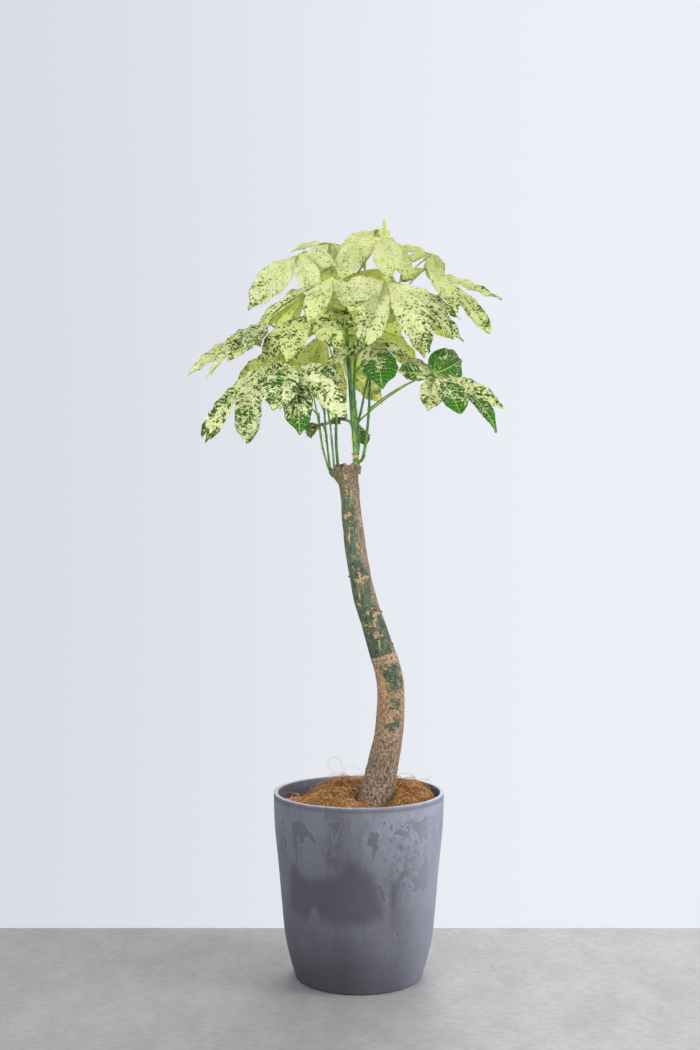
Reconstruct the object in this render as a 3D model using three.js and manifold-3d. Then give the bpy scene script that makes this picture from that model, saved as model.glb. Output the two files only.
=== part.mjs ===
// A potted money tree: a stone-look pot filled with soil under a coir mulch, a thick bent trunk cut off
// at the top, thin green shoots from its head, and palmate leaves on long stalks.
// Millimetres, +Z up, the origin in the middle of the pot's flat bottom, the front towards -Y.
import * as THREE from 'three';
import { mergeVertices } from 'three/addons/utils/BufferGeometryUtils.js';
import Module from 'manifold-3d';

// ---------------------------------------------------------------- driving dimensions

const GAP = 0.3; // clearance between two pieces that touch

const POT = {
  height: 323,
  rimRadius: 150,
  wall: 7,
  floor: 10,
  footRadius: 110,
  footRound: 3,
  hollowCorner: 12, // height of the slope between the hollow's floor and its wall
  rimEdge: 1.2, // bevel of the rim's flat top
  sides: 32,
  rows: 9, // of the outside, from foot to rim
};
const SOIL_TOP = 268;
const COIR = {
  level: 296, // general surface, apart from the heaps
  rings: 6,
  sides: 26,
};
const STRANDS = {
  count: 30,
  radius: 0.8,
  length: [34, 80], // shortest and longest
  turn: 0.8, // most that one veers to either side over its length, in radians
  rise: [3, 9], // lowest and highest top of an arch
  sunk: 3, // depth of its ends below the bed's surface
  freeShare: 0.3, // share of them with one end in the air
  freeArch: 0.6, // share of a full arch that such a one makes
  reach: 0.95, // share of the bed's radius that they spread over
  fromTrunk: 44,
  fromWall: 2,
  seed: 4177,
};
const TRUNK = {
  bottom: 150,
  cut: 896, // level of the cut head
  lineTop: 908,
  sides: 12,
  rows: 28,
};
const SHOOT_SIDES = 6;
const STALK = { radius: 1.4, foot: 1.75, rise: 0.12, sides: 4, rows: 3 };
const HUB_RADIUS = 6; // where a leaf's stalk spreads into leaflets
const BLADE = {
  thick: 0.8,
  start: 2.4, // from the hub's middle
  baseHalf: 1.3,
  tipHalf: 0.6,
  fold: 13, // degrees that each half rises from the rib
  bend: 14, // degrees along the blade, and one more for each 14 mm of length
  bendLength: 14,
  rollDone: 0.4, // share of the length over which a blade rolls to the light
  long: 128, // from this length on a blade has one row more
  longRows: [0, 0.3, 0.58, 0.83, 1],
  shortRows: [0, 0.36, 0.72, 1],
};
const CLEAR = 1.2; // room that a leaflet keeps to every other piece

// ---------------------------------------------------------------- materials

const finish = (color, roughness) => new THREE.MeshStandardMaterial({ color, roughness, metalness: 0 });
const STONE = finish(0x7a7c88, 0.72);
const EARTH = finish(0x33261c, 0.95);
const FIBRE = finish(0x96683f, 0.9);
const BARK = finish(0x5d5c44, 0.85);
const GREEN_STEM = finish(0x4f8a3a, 0.5);
const LEAF = finish(0xc9cf86, 0.45);

// ---------------------------------------------------------------- solids

const wasm = await Module();
wasm.setup();

// A closed three.js geometry as a solid; shared corners are merged by place alone.
function solidOf(geometry) {
  const bare = geometry.clone();
  bare.deleteAttribute('normal');
  bare.deleteAttribute('uv');
  const merged = mergeVertices(bare, 1e-4);
  const vertProperties = new Float32Array(merged.attributes.position.array);
  const triVerts = new Uint32Array(merged.index.array);
  return new wasm.Manifold(new wasm.Mesh({ numProp: 3, vertProperties, triVerts }));
}

function geometryOf(solid) {
  const mesh = solid.getMesh();
  const geometry = new THREE.BufferGeometry();
  geometry.setAttribute('position', new THREE.BufferAttribute(mesh.vertProperties, 3));
  geometry.setIndex(new THREE.BufferAttribute(mesh.triVerts, 1));
  geometry.computeVertexNormals();
  return geometry;
}

// The largest body of a solid: a scrap cut loose by a neighbour is dropped.
function largest(solid) {
  return solid.decompose().sort((a, b) => b.volume() - a.volume())[0];
}

function joined(solids) {
  return solids.reduce((all, one) => all.add(one));
}

function boxesMeet(a, b) {
  return [0, 1, 2].every((axis) => a.min[axis] < b.max[axis] && b.min[axis] < a.max[axis]);
}

// True where the solid meets one of the others, each given as { solid, box }.
function meets(solid, others) {
  const box = solid.boundingBox();
  return others.some((other) => boxesMeet(box, other.box) && !solid.intersect(other.solid).isEmpty());
}

const tracked = (solid, owner) => ({ solid, owner, box: solid.boundingBox() });

// A lathe profile of [radius, height] pairs, turned about Z.
function turned(profile, sides) {
  const points = profile.map(([radius, height]) => new THREE.Vector2(radius, height));
  return new THREE.LatheGeometry(points, sides).rotateX(Math.PI / 2);
}

// A round rod along centre(t), t from 0 to 1, with radius(t, turn); a closed cylinder moved onto its path.
function rod({ centre, radius, across, sides, rows }) {
  const geometry = new THREE.CylinderGeometry(1, 1, 1, sides, rows);
  const position = geometry.attributes.position;
  const step = 1e-3;
  for (let i = 0; i < position.count; i += 1) {
    const t = position.getY(i) + 0.5;
    const turn = Math.atan2(position.getX(i), position.getZ(i));
    const reach = Math.hypot(position.getX(i), position.getZ(i));
    const along = centre(Math.min(t + step, 1)).sub(centre(Math.max(t - step, 0))).normalize();
    const side = across.clone().addScaledVector(along, -across.dot(along)).normalize();
    const other = side.clone().cross(along);
    const size = reach * radius(t, turn);
    const point = centre(t)
      .addScaledVector(other, size * Math.cos(turn))
      .addScaledVector(side, size * Math.sin(turn));
    position.setXYZ(i, point.x, point.y, point.z);
  }
  return geometry;
}

const vector = ([x, y, z]) => new THREE.Vector3(x, y, z);
const radians = THREE.MathUtils.degToRad;
const HALVINGS = 40;
const SIDEWAYS = new THREE.Vector3(1, 0, 0);

// The same run of numbers, from 0 to 1, every time.
function randomFrom(seed) {
  let state = seed;
  return () => {
    state = (state * 1664525 + 1013904223) % 4294967296;
    return state / 4294967296;
  };
}

// Straight-line reading of a list of [place, value] pairs.
function reading(pairs, place) {
  const next = pairs.findIndex(([mark]) => mark >= place);
  if (next < 0) {
    return pairs[pairs.length - 1][1];
  }
  if (next === 0) {
    return pairs[0][1];
  }
  const [[low, from], [high, to]] = [pairs[next - 1], pairs[next]];
  return THREE.MathUtils.lerp(from, to, (place - low) / (high - low));
}

// The point where a rising curve reaches a height, found by halving.
function pointAtHeight(curve, height) {
  let [low, high] = [0, 1];
  for (let i = 0; i < HALVINGS; i += 1) {
    const middle = (low + high) / 2;
    if (curve.getPoint(middle).z < height) {
      low = middle;
    } else {
      high = middle;
    }
  }
  return curve.getPoint(low);
}

const tree = new THREE.Group();
function place(name, solid, material) {
  const mesh = new THREE.Mesh(geometryOf(solid), material);
  mesh.name = name;
  tree.add(mesh);
}

// ---------------------------------------------------------------- pot

// The outside swells from the foot and then rises nearly straight to the rim.
const potCurve = new THREE.SplineCurve([
  new THREE.Vector2(112.5, POT.footRound),
  new THREE.Vector2(120, 29),
  new THREE.Vector2(127.5, 60),
  new THREE.Vector2(132, 90),
  new THREE.Vector2(136, 134),
  new THREE.Vector2(141, 192),
  new THREE.Vector2(148, 262),
  new THREE.Vector2(POT.rimRadius, POT.height - 2),
]);
const potOutside = potCurve.getPoints(POT.rows).map((point) => [point.x, point.y]);
const outsideByHeight = potOutside.map(([radius, height]) => [height, radius]);
const hollowFoot = POT.floor + POT.hollowCorner;
const insideByHeight = [hollowFoot, 80, 150, 240, POT.height - 2].map(
  (height) => [height, reading(outsideByHeight, height) - POT.wall],
);
const innerRadius = (height) => reading(insideByHeight, height);
const floorRadius = innerRadius(hollowFoot) - POT.hollowCorner;
const potProfile = [
  [0, 0],
  [POT.footRadius, 0],
  ...potOutside,
  [POT.rimRadius - POT.rimEdge, POT.height],
  [POT.rimRadius - POT.wall + POT.rimEdge, POT.height],
  ...insideByHeight.map(([height, radius]) => [radius, height]).reverse(),
  [floorRadius, POT.floor],
  [0, POT.floor],
];
place('pot', solidOf(turned(potProfile, POT.sides)), STONE);

// ---------------------------------------------------------------- trunk

// Centreline, from the buried end to the cut head.
const trunkLine = new THREE.CatmullRomCurve3([
  vector([14, 4, TRUNK.bottom]),
  vector([18, 3, 235]),
  vector([31, 1, 315]),
  vector([45.3, 0, 377]),
  vector([55.2, 0, 448]),
  vector([54.5, 0, 519]),
  vector([35.2, 0, 589]),
  vector([11.9, 0, 660]),
  vector([-2.6, 0, 731]),
  vector([-11.3, 0, 801]),
  vector([-18.3, 0, 865]),
  vector([-27.5, 0, TRUNK.lineTop]),
], false, 'catmullrom', 0.5);

const TRUNK_DIAMETER = [
  [TRUNK.bottom, 40], [200, 62], [262, 76], [288, 70], [315, 61], [342, 57.5], [377, 52.5], [448, 49],
  [536, 47.5], [563, 46], [589, 44], [625, 40.5], [660, 40], [695, 38], [766, 37], [801, 35.5],
  [837, 34], [868, 35], [880, 42], [893, 52], [TRUNK.lineTop, 58],
];

// Shallow hollows and swellings of the bark, winding up the trunk and deeper towards its foot.
const RELIEF = { depth: 0.35, footDepth: 1.1, footFrom: 480, footFull: 300, ridges: 3, smallRidges: 5 };
function barkRelief(height, turn) {
  const foot = THREE.MathUtils.smoothstep(-height, -RELIEF.footFrom, -RELIEF.footFull);
  const ridges = Math.sin(RELIEF.ridges * turn + height / 31);
  const smallRidges = 0.6 * Math.sin(RELIEF.smallRidges * turn - height / 17);
  return (ridges + smallRidges) * (RELIEF.depth + RELIEF.footDepth * foot);
}

function trunkRod(extra) {
  return solidOf(rod({
    centre: (t) => trunkLine.getPoint(t),
    radius: (t, turn) => {
      const height = trunkLine.getPoint(t).z;
      return reading(TRUNK_DIAMETER, height) / 2 + barkRelief(height, turn) + extra;
    },
    across: SIDEWAYS,
    sides: TRUNK.sides,
    rows: TRUNK.rows,
  }));
}

// A straight peg with its own end sizes, for stubs, knobs and scars.
function peg(from, to, startRadius, endRadius, sides) {
  const [a, b] = [vector(from), vector(to)];
  return solidOf(rod({
    centre: (t) => a.clone().lerp(b, t),
    radius: (t) => THREE.MathUtils.lerp(startRadius, endRadius, t),
    across: new THREE.Vector3(0.2, 1, 0.1).normalize(),
    sides,
    rows: 1,
  }));
}

// The head: an old branch stub leaning left, the broken rim of the cut, and the pale collar at right.
const trunkHead = [
  peg([-27, -2, 866], [-44, -3, 890], 8, 9.5, 9),
  peg([-42, 2, 880], [-50, 3, 889], 6.5, 5, 7),
  peg([-12, -8, 884], [-5, -11, 899], 8, 6.5, 6),
  peg([-26, 12, 886], [-30, 15, 901], 7, 4, 5),
  peg([-38, -10, 886], [-40, -13, 899], 6, 3.5, 5),
];
// Knobs where leaves were shed: one on the ring band at right and two small ones at left.
const trunkKnobs = [
  peg([38, -2, 586], [61, -4, 582], 6, 3, 6),
  peg([2, -3, 700], [-19.5, -6, 702], 4, 1.8, 5),
  peg([-12, 0, 772], [-27, -2, 773], 3, 1.4, 5),
];

// ---------------------------------------------------------------- shoots

// Each branch of a shoot: its centreline from the trunk's head upwards, and its end diameters.
const BRANCHES = {
  s1: {
    node: 'shoot_1', from: 4.2, to: 3, rows: 5,
    line: [[-45, -3, 877], [-54, -5, 895], [-64, -8, 931], [-69, -10, 968], [-71, -10, 990]],
  },
  s2: {
    node: 'shoot_2', from: 4.4, to: 3, rows: 5,
    line: [[-44, 4, 878], [-52, 8, 901], [-58, 13, 955], [-60, 14, 978], [-61, 14, 1002]],
  },
  s3: {
    node: 'shoot_3', from: 4.2, to: 3, rows: 6,
    line: [[-42, -6, 886], [-44, -8, 900], [-50, -12, 967], [-53, -12, 985], [-65, -10, 1050]],
  },
  s4: {
    node: 'shoot_4', from: 5.8, to: 3.6, rows: 8,
    line: [
      [-35, 2, 886], [-37, 2, 900], [-40, 2, 937], [-40, 1, 987], [-43, 0, 1030], [-42.5, 0, 1075],
      [-45.5, 0, 1158],
    ],
  },
  s5: {
    node: 'shoot_fork', from: 11, to: 4.6, rows: 9,
    line: [
      [-5, 0, 885], [-5, -1, 900], [-5.6, -3, 925], [-9.3, -5, 968], [-11.8, -6, 993], [-15.5, -6, 1049],
      [-18.7, -6, 1091], [-21, -5, 1125], [-22, -2, 1165], [-16, 2, 1225],
    ],
  },
  s6: {
    node: 'shoot_fork', from: 6.4, to: 3.8, rows: 6,
    line: [
      [-5, 1, 912], [-0.7, 7, 930], [-1.5, 12, 962], [-5, 18, 993], [-8, 24, 1029], [-6, 33, 1085],
      [4, 42, 1150],
    ],
  },
  s7: {
    node: 'shoot_fork', from: 4.8, to: 3.4, rows: 4,
    line: [[-2.5, 12, 972], [3, 10, 990], [14.2, 8, 1045], [27, 6, 1100], [38, 4, 1155]],
  },
  s8: {
    node: 'shoot_fork', from: 6, to: 3.8, rows: 6,
    line: [
      [-3, 2, 902], [7, 7, 911], [12.8, 12, 943], [18, 14, 993], [19.8, 14, 1040], [20.5, 10, 1078],
    ],
  },
};

for (const branch of Object.values(BRANCHES)) {
  branch.curve = new THREE.CatmullRomCurve3(branch.line.map(vector), false, 'catmullrom', 0.5);
}

function branchRod(branch, extra) {
  return solidOf(rod({
    centre: (t) => branch.curve.getPoint(t).add(new THREE.Vector3(0, 0, extra * (2 * t - 1))),
    radius: (t) => THREE.MathUtils.lerp(branch.from, branch.to, t) / 2 + extra,
    across: SIDEWAYS,
    sides: SHOOT_SIDES,
    rows: branch.rows,
  }));
}

// The fork's stub has two ring scars and small side buds.
const forkRings = (extra) => [
  peg([-5, -0.8, 897.5], [-5, -1, 902], 6.6 + extra, 6.6 + extra, 6),
  peg([-5.2, -1.8, 911.5], [-5.3, -2.2, 915.5], 6.5 + extra, 6.1 + extra, 6),
];
const forkBuds = [
  peg([-6, -2, 913], [-13, -5, 920], 2.2, 0.9, 4),
  peg([-6, -3, 922], [-11.5, -7, 931], 1.8, 0.7, 4),
  peg([8, 7, 912], [13, 5, 916], 1.8, 0.8, 4),
];

const shootNodes = ['shoot_1', 'shoot_2', 'shoot_3', 'shoot_4', 'shoot_fork'];
function shootSolid(node, extra) {
  const branches = Object.values(BRANCHES).filter((branch) => branch.node === node);
  const rods = branches.map((branch) => branchRod(branch, extra));
  const details = node === 'shoot_fork' ? [...forkRings(extra), ...(extra ? [] : forkBuds)] : [];
  return joined([...rods, ...details]);
}
const shoots = shootNodes.map((node) => ({ node, solid: shootSolid(node, 0), room: shootSolid(node, GAP) }));

const trunkStem = trunkRod(0).trimByPlane([0, 0, -1], -TRUNK.cut);
let trunk = joined([trunkStem, ...trunkHead, ...trunkKnobs]);
for (const shoot of shoots) {
  trunk = trunk.subtract(shoot.room);
}
trunk = largest(trunk);
place('trunk', trunk, BARK);
for (const shoot of shoots) {
  place(shoot.node, shoot.solid, GREEN_STEM);
}

// ---------------------------------------------------------------- soil and coir mulch

const trunkRoom = trunkRod(GAP);
const soilSide = insideByHeight.filter(([height]) => height < SOIL_TOP);
const soilProfile = [
  [0, POT.floor + GAP],
  [floorRadius - GAP, POT.floor + GAP],
  ...soilSide.map(([height, radius]) => [radius - GAP, height]),
  [innerRadius(SOIL_TOP) - GAP, SOIL_TOP],
  [0, SOIL_TOP],
];
place('soil', solidOf(turned(soilProfile, POT.sides)).subtract(trunkRoom), EARTH);

// Coir lies heaped at the left and right of the trunk and low in front and at the far left wall.
const HEAPS = [
  // x, y, height, reach
  [-38, 48, 44, 46],
  [-62, -8, 20, 44],
  [84, 30, 40, 44],
  [98, -22, 18, 38],
  [20, 92, 22, 40],
  [-10, -70, 12, 50],
  [-118, 62, -12, 34],
];
function coirHeight(x, y) {
  const heaps = HEAPS.reduce(
    (sum, [hx, hy, height, reach]) => sum + height * Math.exp(-((x - hx) ** 2 + (y - hy) ** 2) / reach ** 2),
    0,
  );
  const tufts = 1.6 * Math.sin(x / 7.3 + 2 * Math.sin(y / 11)) + 1.3 * Math.sin(y / 6.1 + x / 15);
  return COIR.level + heaps + tufts;
}

const coirBottom = SOIL_TOP + GAP;
const wallFlat = Math.cos(Math.PI / POT.sides); // how far in the flats of the pot's sides lie
const coirRadius = innerRadius(SOIL_TOP) * wallFlat - GAP;
const coirRings = Array.from({ length: COIR.rings }, (_, i) => coirRadius * (1 - i / COIR.rings));
const coirProfile = [
  [0, coirBottom],
  [coirRadius, coirBottom],
  ...coirRings.map((radius) => [radius, COIR.level]),
  [0, COIR.level],
];
const coirBed = turned(coirProfile, COIR.sides);
const bedPosition = coirBed.attributes.position;
for (let i = 0; i < bedPosition.count; i += 1) {
  if (bedPosition.getZ(i) > coirBottom + 1) {
    bedPosition.setZ(i, coirHeight(bedPosition.getX(i), bedPosition.getY(i)));
  }
}

// Loose strands: each arches out of the bed and dips back in, or ends free a little above it.
const draw = randomFrom(STRANDS.seed);
function strand() {
  const away = coirRadius * Math.sqrt(draw()) * STRANDS.reach;
  const bearing = 2 * Math.PI * draw();
  const [x, y] = [away * Math.cos(bearing), away * Math.sin(bearing)];
  const heading = 2 * Math.PI * draw();
  const length = THREE.MathUtils.lerp(...STRANDS.length, draw());
  const curl = 2 * STRANDS.turn * (draw() - 0.5);
  const rise = THREE.MathUtils.lerp(...STRANDS.rise, draw());
  const arch = Math.PI * (draw() < STRANDS.freeShare ? STRANDS.freeArch : 1);
  const centre = (t) => {
    const way = heading + curl * (t - 0.5);
    const px = x + length * (t - 0.5) * Math.cos(way);
    const py = y + length * (t - 0.5) * Math.sin(way);
    const lift = rise * Math.sin(arch * t) - STRANDS.sunk;
    return new THREE.Vector3(px, py, coirHeight(px, py) + lift);
  };
  const trunkAt = pointAtHeight(trunkLine, COIR.level);
  const clear = [0, 0.25, 0.5, 0.75, 1].every((t) => {
    const point = centre(t);
    const fromTrunk = Math.hypot(point.x - trunkAt.x, point.y - trunkAt.y);
    return Math.hypot(point.x, point.y) < coirRadius - STRANDS.fromWall && fromTrunk > STRANDS.fromTrunk;
  });
  if (!clear) {
    return strand();
  }
  return solidOf(rod({
    centre,
    radius: () => STRANDS.radius,
    across: new THREE.Vector3(-Math.sin(heading), Math.cos(heading), 0),
    sides: 3,
    rows: 4,
  }));
}
const strands = Array.from({ length: STRANDS.count }, strand);
const coir = joined([solidOf(coirBed), ...strands]).subtract(trunkRoom);
place('coir_mulch', largest(coir), FIBRE);

// ---------------------------------------------------------------- leaves

// A leaf looks along facing (0 to the front, 90 to the right) with its umbrella tilted that way. Its side
// leaflets roll their faces to the front, or to the back where roll is below 0.
// Each leaflet: turn in the leaf's own plane, droop below it, length, half width, and, on a few, a roll or
// a bend of its own, a swell that sets its widest place nearer to the hub (below 1) or to the tip (above 1),
// or how much of its outline is left where its end is torn off.
// Stalks leave their branch at the height given.
const wheel = (size, spread) => [
  [0, 24, 148 * size, 24 * size],
  [spread, 26, 136 * size, 22 * size],
  [-spread, 22, 136 * size, 22 * size],
  [spread * 2, 22, 108 * size, 18 * size],
  [-spread * 2, 26, 108 * size, 18 * size],
];
const LEAVES = [
  {
    branch: 's5', height: 1165, hub: [33, 0, 1315], facing: -60, tilt: 20, roll: 50,
    leaflets: [
      [4, 32, 129, 25], [-48, 20, 91, 19], [58, 52, 95, 19], [-105, 20, 103, 18], [90, 44, 33, 8],
    ],
  },
  {
    branch: 's5', height: 1215, hub: [49, -40, 1292], facing: 10, tilt: 30, roll: 40,
    leaflets: [
      [-9, 21, 120, 24], [-66, 28, 60, 14], [42, 50, 79, 16], [114, 46, 27, 6],
      [-150, -72, 30, 2.6, { bend: -30 }],
    ],
  },
  {
    branch: 's4', height: 1148, hub: [-48, 40, 1298], facing: 180, tilt: 10, roll: 40,
    leaflets: [
      [10, 12, 103, 20], [-42, 16, 95, 18], [-100, 60, 60, 13], [82, 10, 74, 16], [130, 38, 94, 18],
      [-152, 55, 104, 19],
    ],
  },
  {
    branch: 's6', height: 1140, hub: [135, 90, 1289], facing: 0, tilt: 5, roll: 35,
    leaflets: [
      [-93, -7, 63, 12], [-53, 18, 72, 12], [-3, 32, 70, 15], [14, 44, 46, 11], [172, 30, 99, 19],
    ],
  },
  {
    branch: 's4', height: 1120, hub: [-105, -20, 1266], facing: -60, tilt: 25, roll: 68,
    leaflets: [
      [-5, 23, 137, 27, { roll: 56, bend: 2, swell: 0.72 }], [62, 44, 107, 20], [-62, 26, 99, 19],
      [-118, 12, 87, 17], [118, 34, 72, 15],
    ],
  },
  {
    branch: 's7', height: 1148, hub: [118, -10, 1244], facing: 70, tilt: 20, roll: 52,
    leaflets: [
      [28, 2, 145, 15, { roll: 30, bend: -10 }],
      [-3, 26, 168, 17, { cut: 0.9, swell: 1.3, roll: 44, bend: 16 }],
      [-33, 27, 136, 19], [-145, 48, 53, 11], [70, 16, 117, 19],
    ],
  },
  {
    branch: 's5', height: 1085, hub: [43, -110, 1204], facing: 30, tilt: 25, roll: 48,
    leaflets: [
      [20, 35, 151, 27], [56, 25, 167, 16, { bend: 18 }], [82, 17, 163, 12, { bend: 14 }],
      [-68, 18, 105, 22], [-26, 36, 139, 25], [135, 15, 103, 17],
    ],
  },
  {
    branch: 's4', height: 1100, hub: [-46, -100, 1209], facing: -20, tilt: 20, roll: 45,
    leaflets: [
      [-56, 23, 149, 15, { roll: 8, bend: 22 }], [-6, 27, 115, 20], [42, 30, 111, 19],
      [168, 17, 89, 17],
    ],
  },
  {
    branch: 's3', height: 1040, hub: [-158, -40, 1145], facing: -90, tilt: 20, roll: 62,
    leaflets: [
      [12, 16, 171, 19, { roll: 34, bend: 10 }], [-24, 17, 156, 13, { cut: 0.9, roll: 40, bend: 14 }],
      [46, 24, 132, 23, { bend: 14 }], [67, 33, 131, 20], [-73, 12, 102, 18],
    ],
  },
  {
    branch: 's4', height: 1030, hub: [-88, -116, 1146], facing: -15, tilt: 22, roll: 45,
    leaflets: [[-8, 30, 111, 21], [44, 28, 103, 19], [-60, 24, 109, 19], [98, 18, 87, 17]],
  },
  {
    branch: 's8', height: 1066, hub: [24, -50, 1104], facing: 10, tilt: 25, roll: 30,
    leaflets: [
      [0, 20, 119, 30], [-92, 28, 91, 11], [92, 18, 70, 12], [-150, 24, 79, 14], [150, 22, 79, 14],
    ],
  },
  {
    branch: 's8', height: 998, hub: [130, -60, 1053], facing: 60, tilt: 20, roll: 50,
    leaflets: [
      [-119, 10, 73, 19, { bend: -8 }], [42, 9, 138, 19, { bend: 4 }], [10, 25, 154, 13, { bend: 56 }],
      [-25, 31, 109, 23, { cut: 0.93 }], [-53, 48, 77, 20], [157, -2, 102, 9],
      [79, -31, 68, 36, { roll: 110, bend: -10, swell: 0.58 }],
    ],
  },
  {
    branch: 's1', height: 984, hub: [-172, -80, 1064], facing: -50, tilt: 25, roll: 50,
    leaflets: [
      [-22, 33, 158, 17, { cut: 0.8, roll: 46, bend: 16 }], [20, 44, 149, 22, { cut: 0.93 }],
      [-76, 40, 99, 16], [66, 30, 99, 18],
    ],
  },
  {
    branch: 's2', height: 994, hub: [-110, -120, 1057], facing: 0, tilt: 20, roll: 45,
    leaflets: [
      [-19, 27, 110, 28], [8, 42, 128, 24], [60, 36, 127, 21], [106, 22, 91, 17], [-125, 16, 78, 15],
    ],
  },
  {
    branch: 's5', height: 945, hub: [-17, 40, 979], facing: 80, tilt: 15, roll: 40,
    leaflets: [[-2, 43, 55, 14], [65, 15, 72, 14], [140, 10, 56, 12]],
  },
  {
    branch: 's2', height: 950, hub: [-66, 60, 975], facing: -95, tilt: 10, roll: 40,
    leaflets: [[-3, 17, 33, 13], [60, 10, 68, 14], [-60, 15, 62, 14], [130, 10, 56, 12]],
  },
  {
    branch: 's4', height: 1060, hub: [-60, 95, 1144], facing: -150, tilt: 20, roll: -20,
    leaflets: [
      [0, 50, 121, 23], [-50, 46, 119, 22], [54, 36, 111, 20], [-104, 12, 103, 19], [108, 20, 91, 17],
    ],
  },
  {
    branch: 's6', height: 1080, hub: [36, 118, 1157], facing: 160, tilt: 20, roll: -20,
    leaflets: [[-40, 34, 115, 20], [28, 50, 115, 21], [78, 42, 82, 17], [-124, 12, 79, 16]],
  },
  {
    branch: 's6', height: 1120, hub: [-12, 140, 1262], facing: 175, tilt: 22, roll: -35,
    leaflets: wheel(0.95, 50),
  },
  {
    branch: 's4', height: 1080, hub: [-98, 108, 1216], facing: -140, tilt: 22, roll: -25,
    leaflets: wheel(0.82, 52),
  },
  {
    branch: 's6', height: 1050, hub: [88, 160, 1208], facing: 150, tilt: 25, roll: -35,
    leaflets: wheel(0.82, 50),
  },
  {
    branch: 's3', height: 1010, hub: [-140, 92, 1112], facing: -130, tilt: 22, roll: -25,
    leaflets: wheel(0.8, 52),
  },
  {
    branch: 's8', height: 1030, hub: [40, 215, 1162], facing: 165, tilt: 24, roll: -35,
    leaflets: wheel(0.56, 50),
  },
  {
    branch: 's6', height: 1010, hub: [-34, 196, 1100], facing: 190, tilt: 25, roll: -35,
    leaflets: wheel(0.9, 52),
  },
  {
    branch: 's1', height: 950, hub: [-95, 112, 1074], facing: -140, tilt: 22, roll: -30,
    leaflets: wheel(0.6, 52),
  },
  {
    branch: 's7', height: 975, hub: [140, 56, 1070], facing: 110, tilt: 22, roll: -30,
    leaflets: wheel(0.45, 52),
  },
];
// Ways to bend a leaflet clear, as more turn and droop.
const LEAFLET_WAYS = [
  [0, 0], [0, 5], [0, -5], [6, 0], [-6, 0], [0, 10], [0, -10], [7, 7], [-7, 7], [7, -7], [-7, -7],
  [12, 0], [-12, 0], [0, 16], [0, -16], [12, 12], [-12, 12], [12, -12], [-12, -12], [20, 0], [-20, 0],
  [0, 24], [0, -24], [20, 14], [-20, 14], [20, -14], [-20, -14], [0, 34], [0, -34], [28, 20], [-28, 20],
];

// A stalk leaves its branch steeply and leans out to the hub.
function stalkSolid(leaf) {
  const start = pointAtHeight(BRANCHES[leaf.branch].curve, leaf.height);
  const end = vector(leaf.hub);
  const middle = start.clone().lerp(end, 0.5);
  middle.z += STALK.rise * start.distanceTo(end);
  const line = new THREE.QuadraticBezierCurve3(start, middle, end);
  return solidOf(rod({
    centre: (t) => line.getPoint(t),
    radius: (t) => THREE.MathUtils.lerp(STALK.foot, STALK.radius, t),
    across: new THREE.Vector3(start.y - end.y, end.x - start.x, 0).normalize(),
    sides: STALK.sides,
    rows: STALK.rows,
  }));
}

function hubSolid(leaf) {
  return solidOf(new THREE.OctahedronGeometry(HUB_RADIUS).translate(...leaf.hub));
}

// A leaflet's outline: its share of the half width, widest at 0.58 of the length.
const outlinePower = [1.1, 0.8];
const outlineRaw = (s) => s ** outlinePower[0] * (1 - s) ** outlinePower[1];
const outlinePeak = outlineRaw(outlinePower[0] / (outlinePower[0] + outlinePower[1]));
const outline = (s) => outlineRaw(s) / outlinePeak;

// A leaflet's blade, as point(t, side, over): t from base to tip, side from -1 to 1 across, and over
// millimetres above its middle surface. It bends down along its length and is folded up at the rib.
function bladeSurface(leaf, [turn, droop, length, halfWidth, own = {}]) {
  const { cut = 1, swell = 1, roll = leaf.roll, bend = BLADE.bend + length / BLADE.bendLength } = own;
  const facing = radians(leaf.facing);
  const tilt = radians(leaf.tilt);
  const ahead = new THREE.Vector3(Math.sin(facing), -Math.cos(facing), 0);
  const axis = ahead.clone().multiplyScalar(Math.sin(tilt)).add(new THREE.Vector3(0, 0, Math.cos(tilt)));
  const forward = ahead.clone().multiplyScalar(Math.cos(tilt)).sub(new THREE.Vector3(0, 0, Math.sin(tilt)));
  const right = new THREE.Vector3(Math.cos(facing), Math.sin(facing), 0);
  const bearing = radians(turn);
  const outward = forward.multiplyScalar(Math.cos(bearing)).addScaledVector(right, Math.sin(bearing));
  const across = axis.clone().cross(outward);
  const arc = radians(bend);
  const start = radians(droop) - arc / 2;
  const fold = Math.tan(radians(BLADE.fold));
  const fullRoll = radians(roll) * Math.sin(facing + bearing);
  return (t, side, over) => {
    const slope = start + arc * t;
    const out = BLADE.start + (length / arc) * (Math.sin(slope) - Math.sin(start));
    const down = (length / arc) * (Math.cos(start) - Math.cos(slope));
    const share = outline(t ** swell * cut);
    const half = halfWidth * share + THREE.MathUtils.lerp(BLADE.baseHalf, BLADE.tipHalf, t);
    const level = axis.clone().multiplyScalar(Math.cos(slope)).addScaledVector(outward, Math.sin(slope));
    const twist = fullRoll * THREE.MathUtils.smoothstep(t, 0, BLADE.rollDone);
    const normal = level.clone().multiplyScalar(Math.cos(twist)).addScaledVector(across, -Math.sin(twist));
    const sideways = across.clone().multiplyScalar(Math.cos(twist)).addScaledVector(level, Math.sin(twist));
    return vector(leaf.hub)
      .addScaledVector(outward, out)
      .addScaledVector(axis, -down)
      .addScaledVector(sideways, side * half)
      .addScaledVector(normal, Math.abs(side) * half * fold + over);
  };
}

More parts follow.
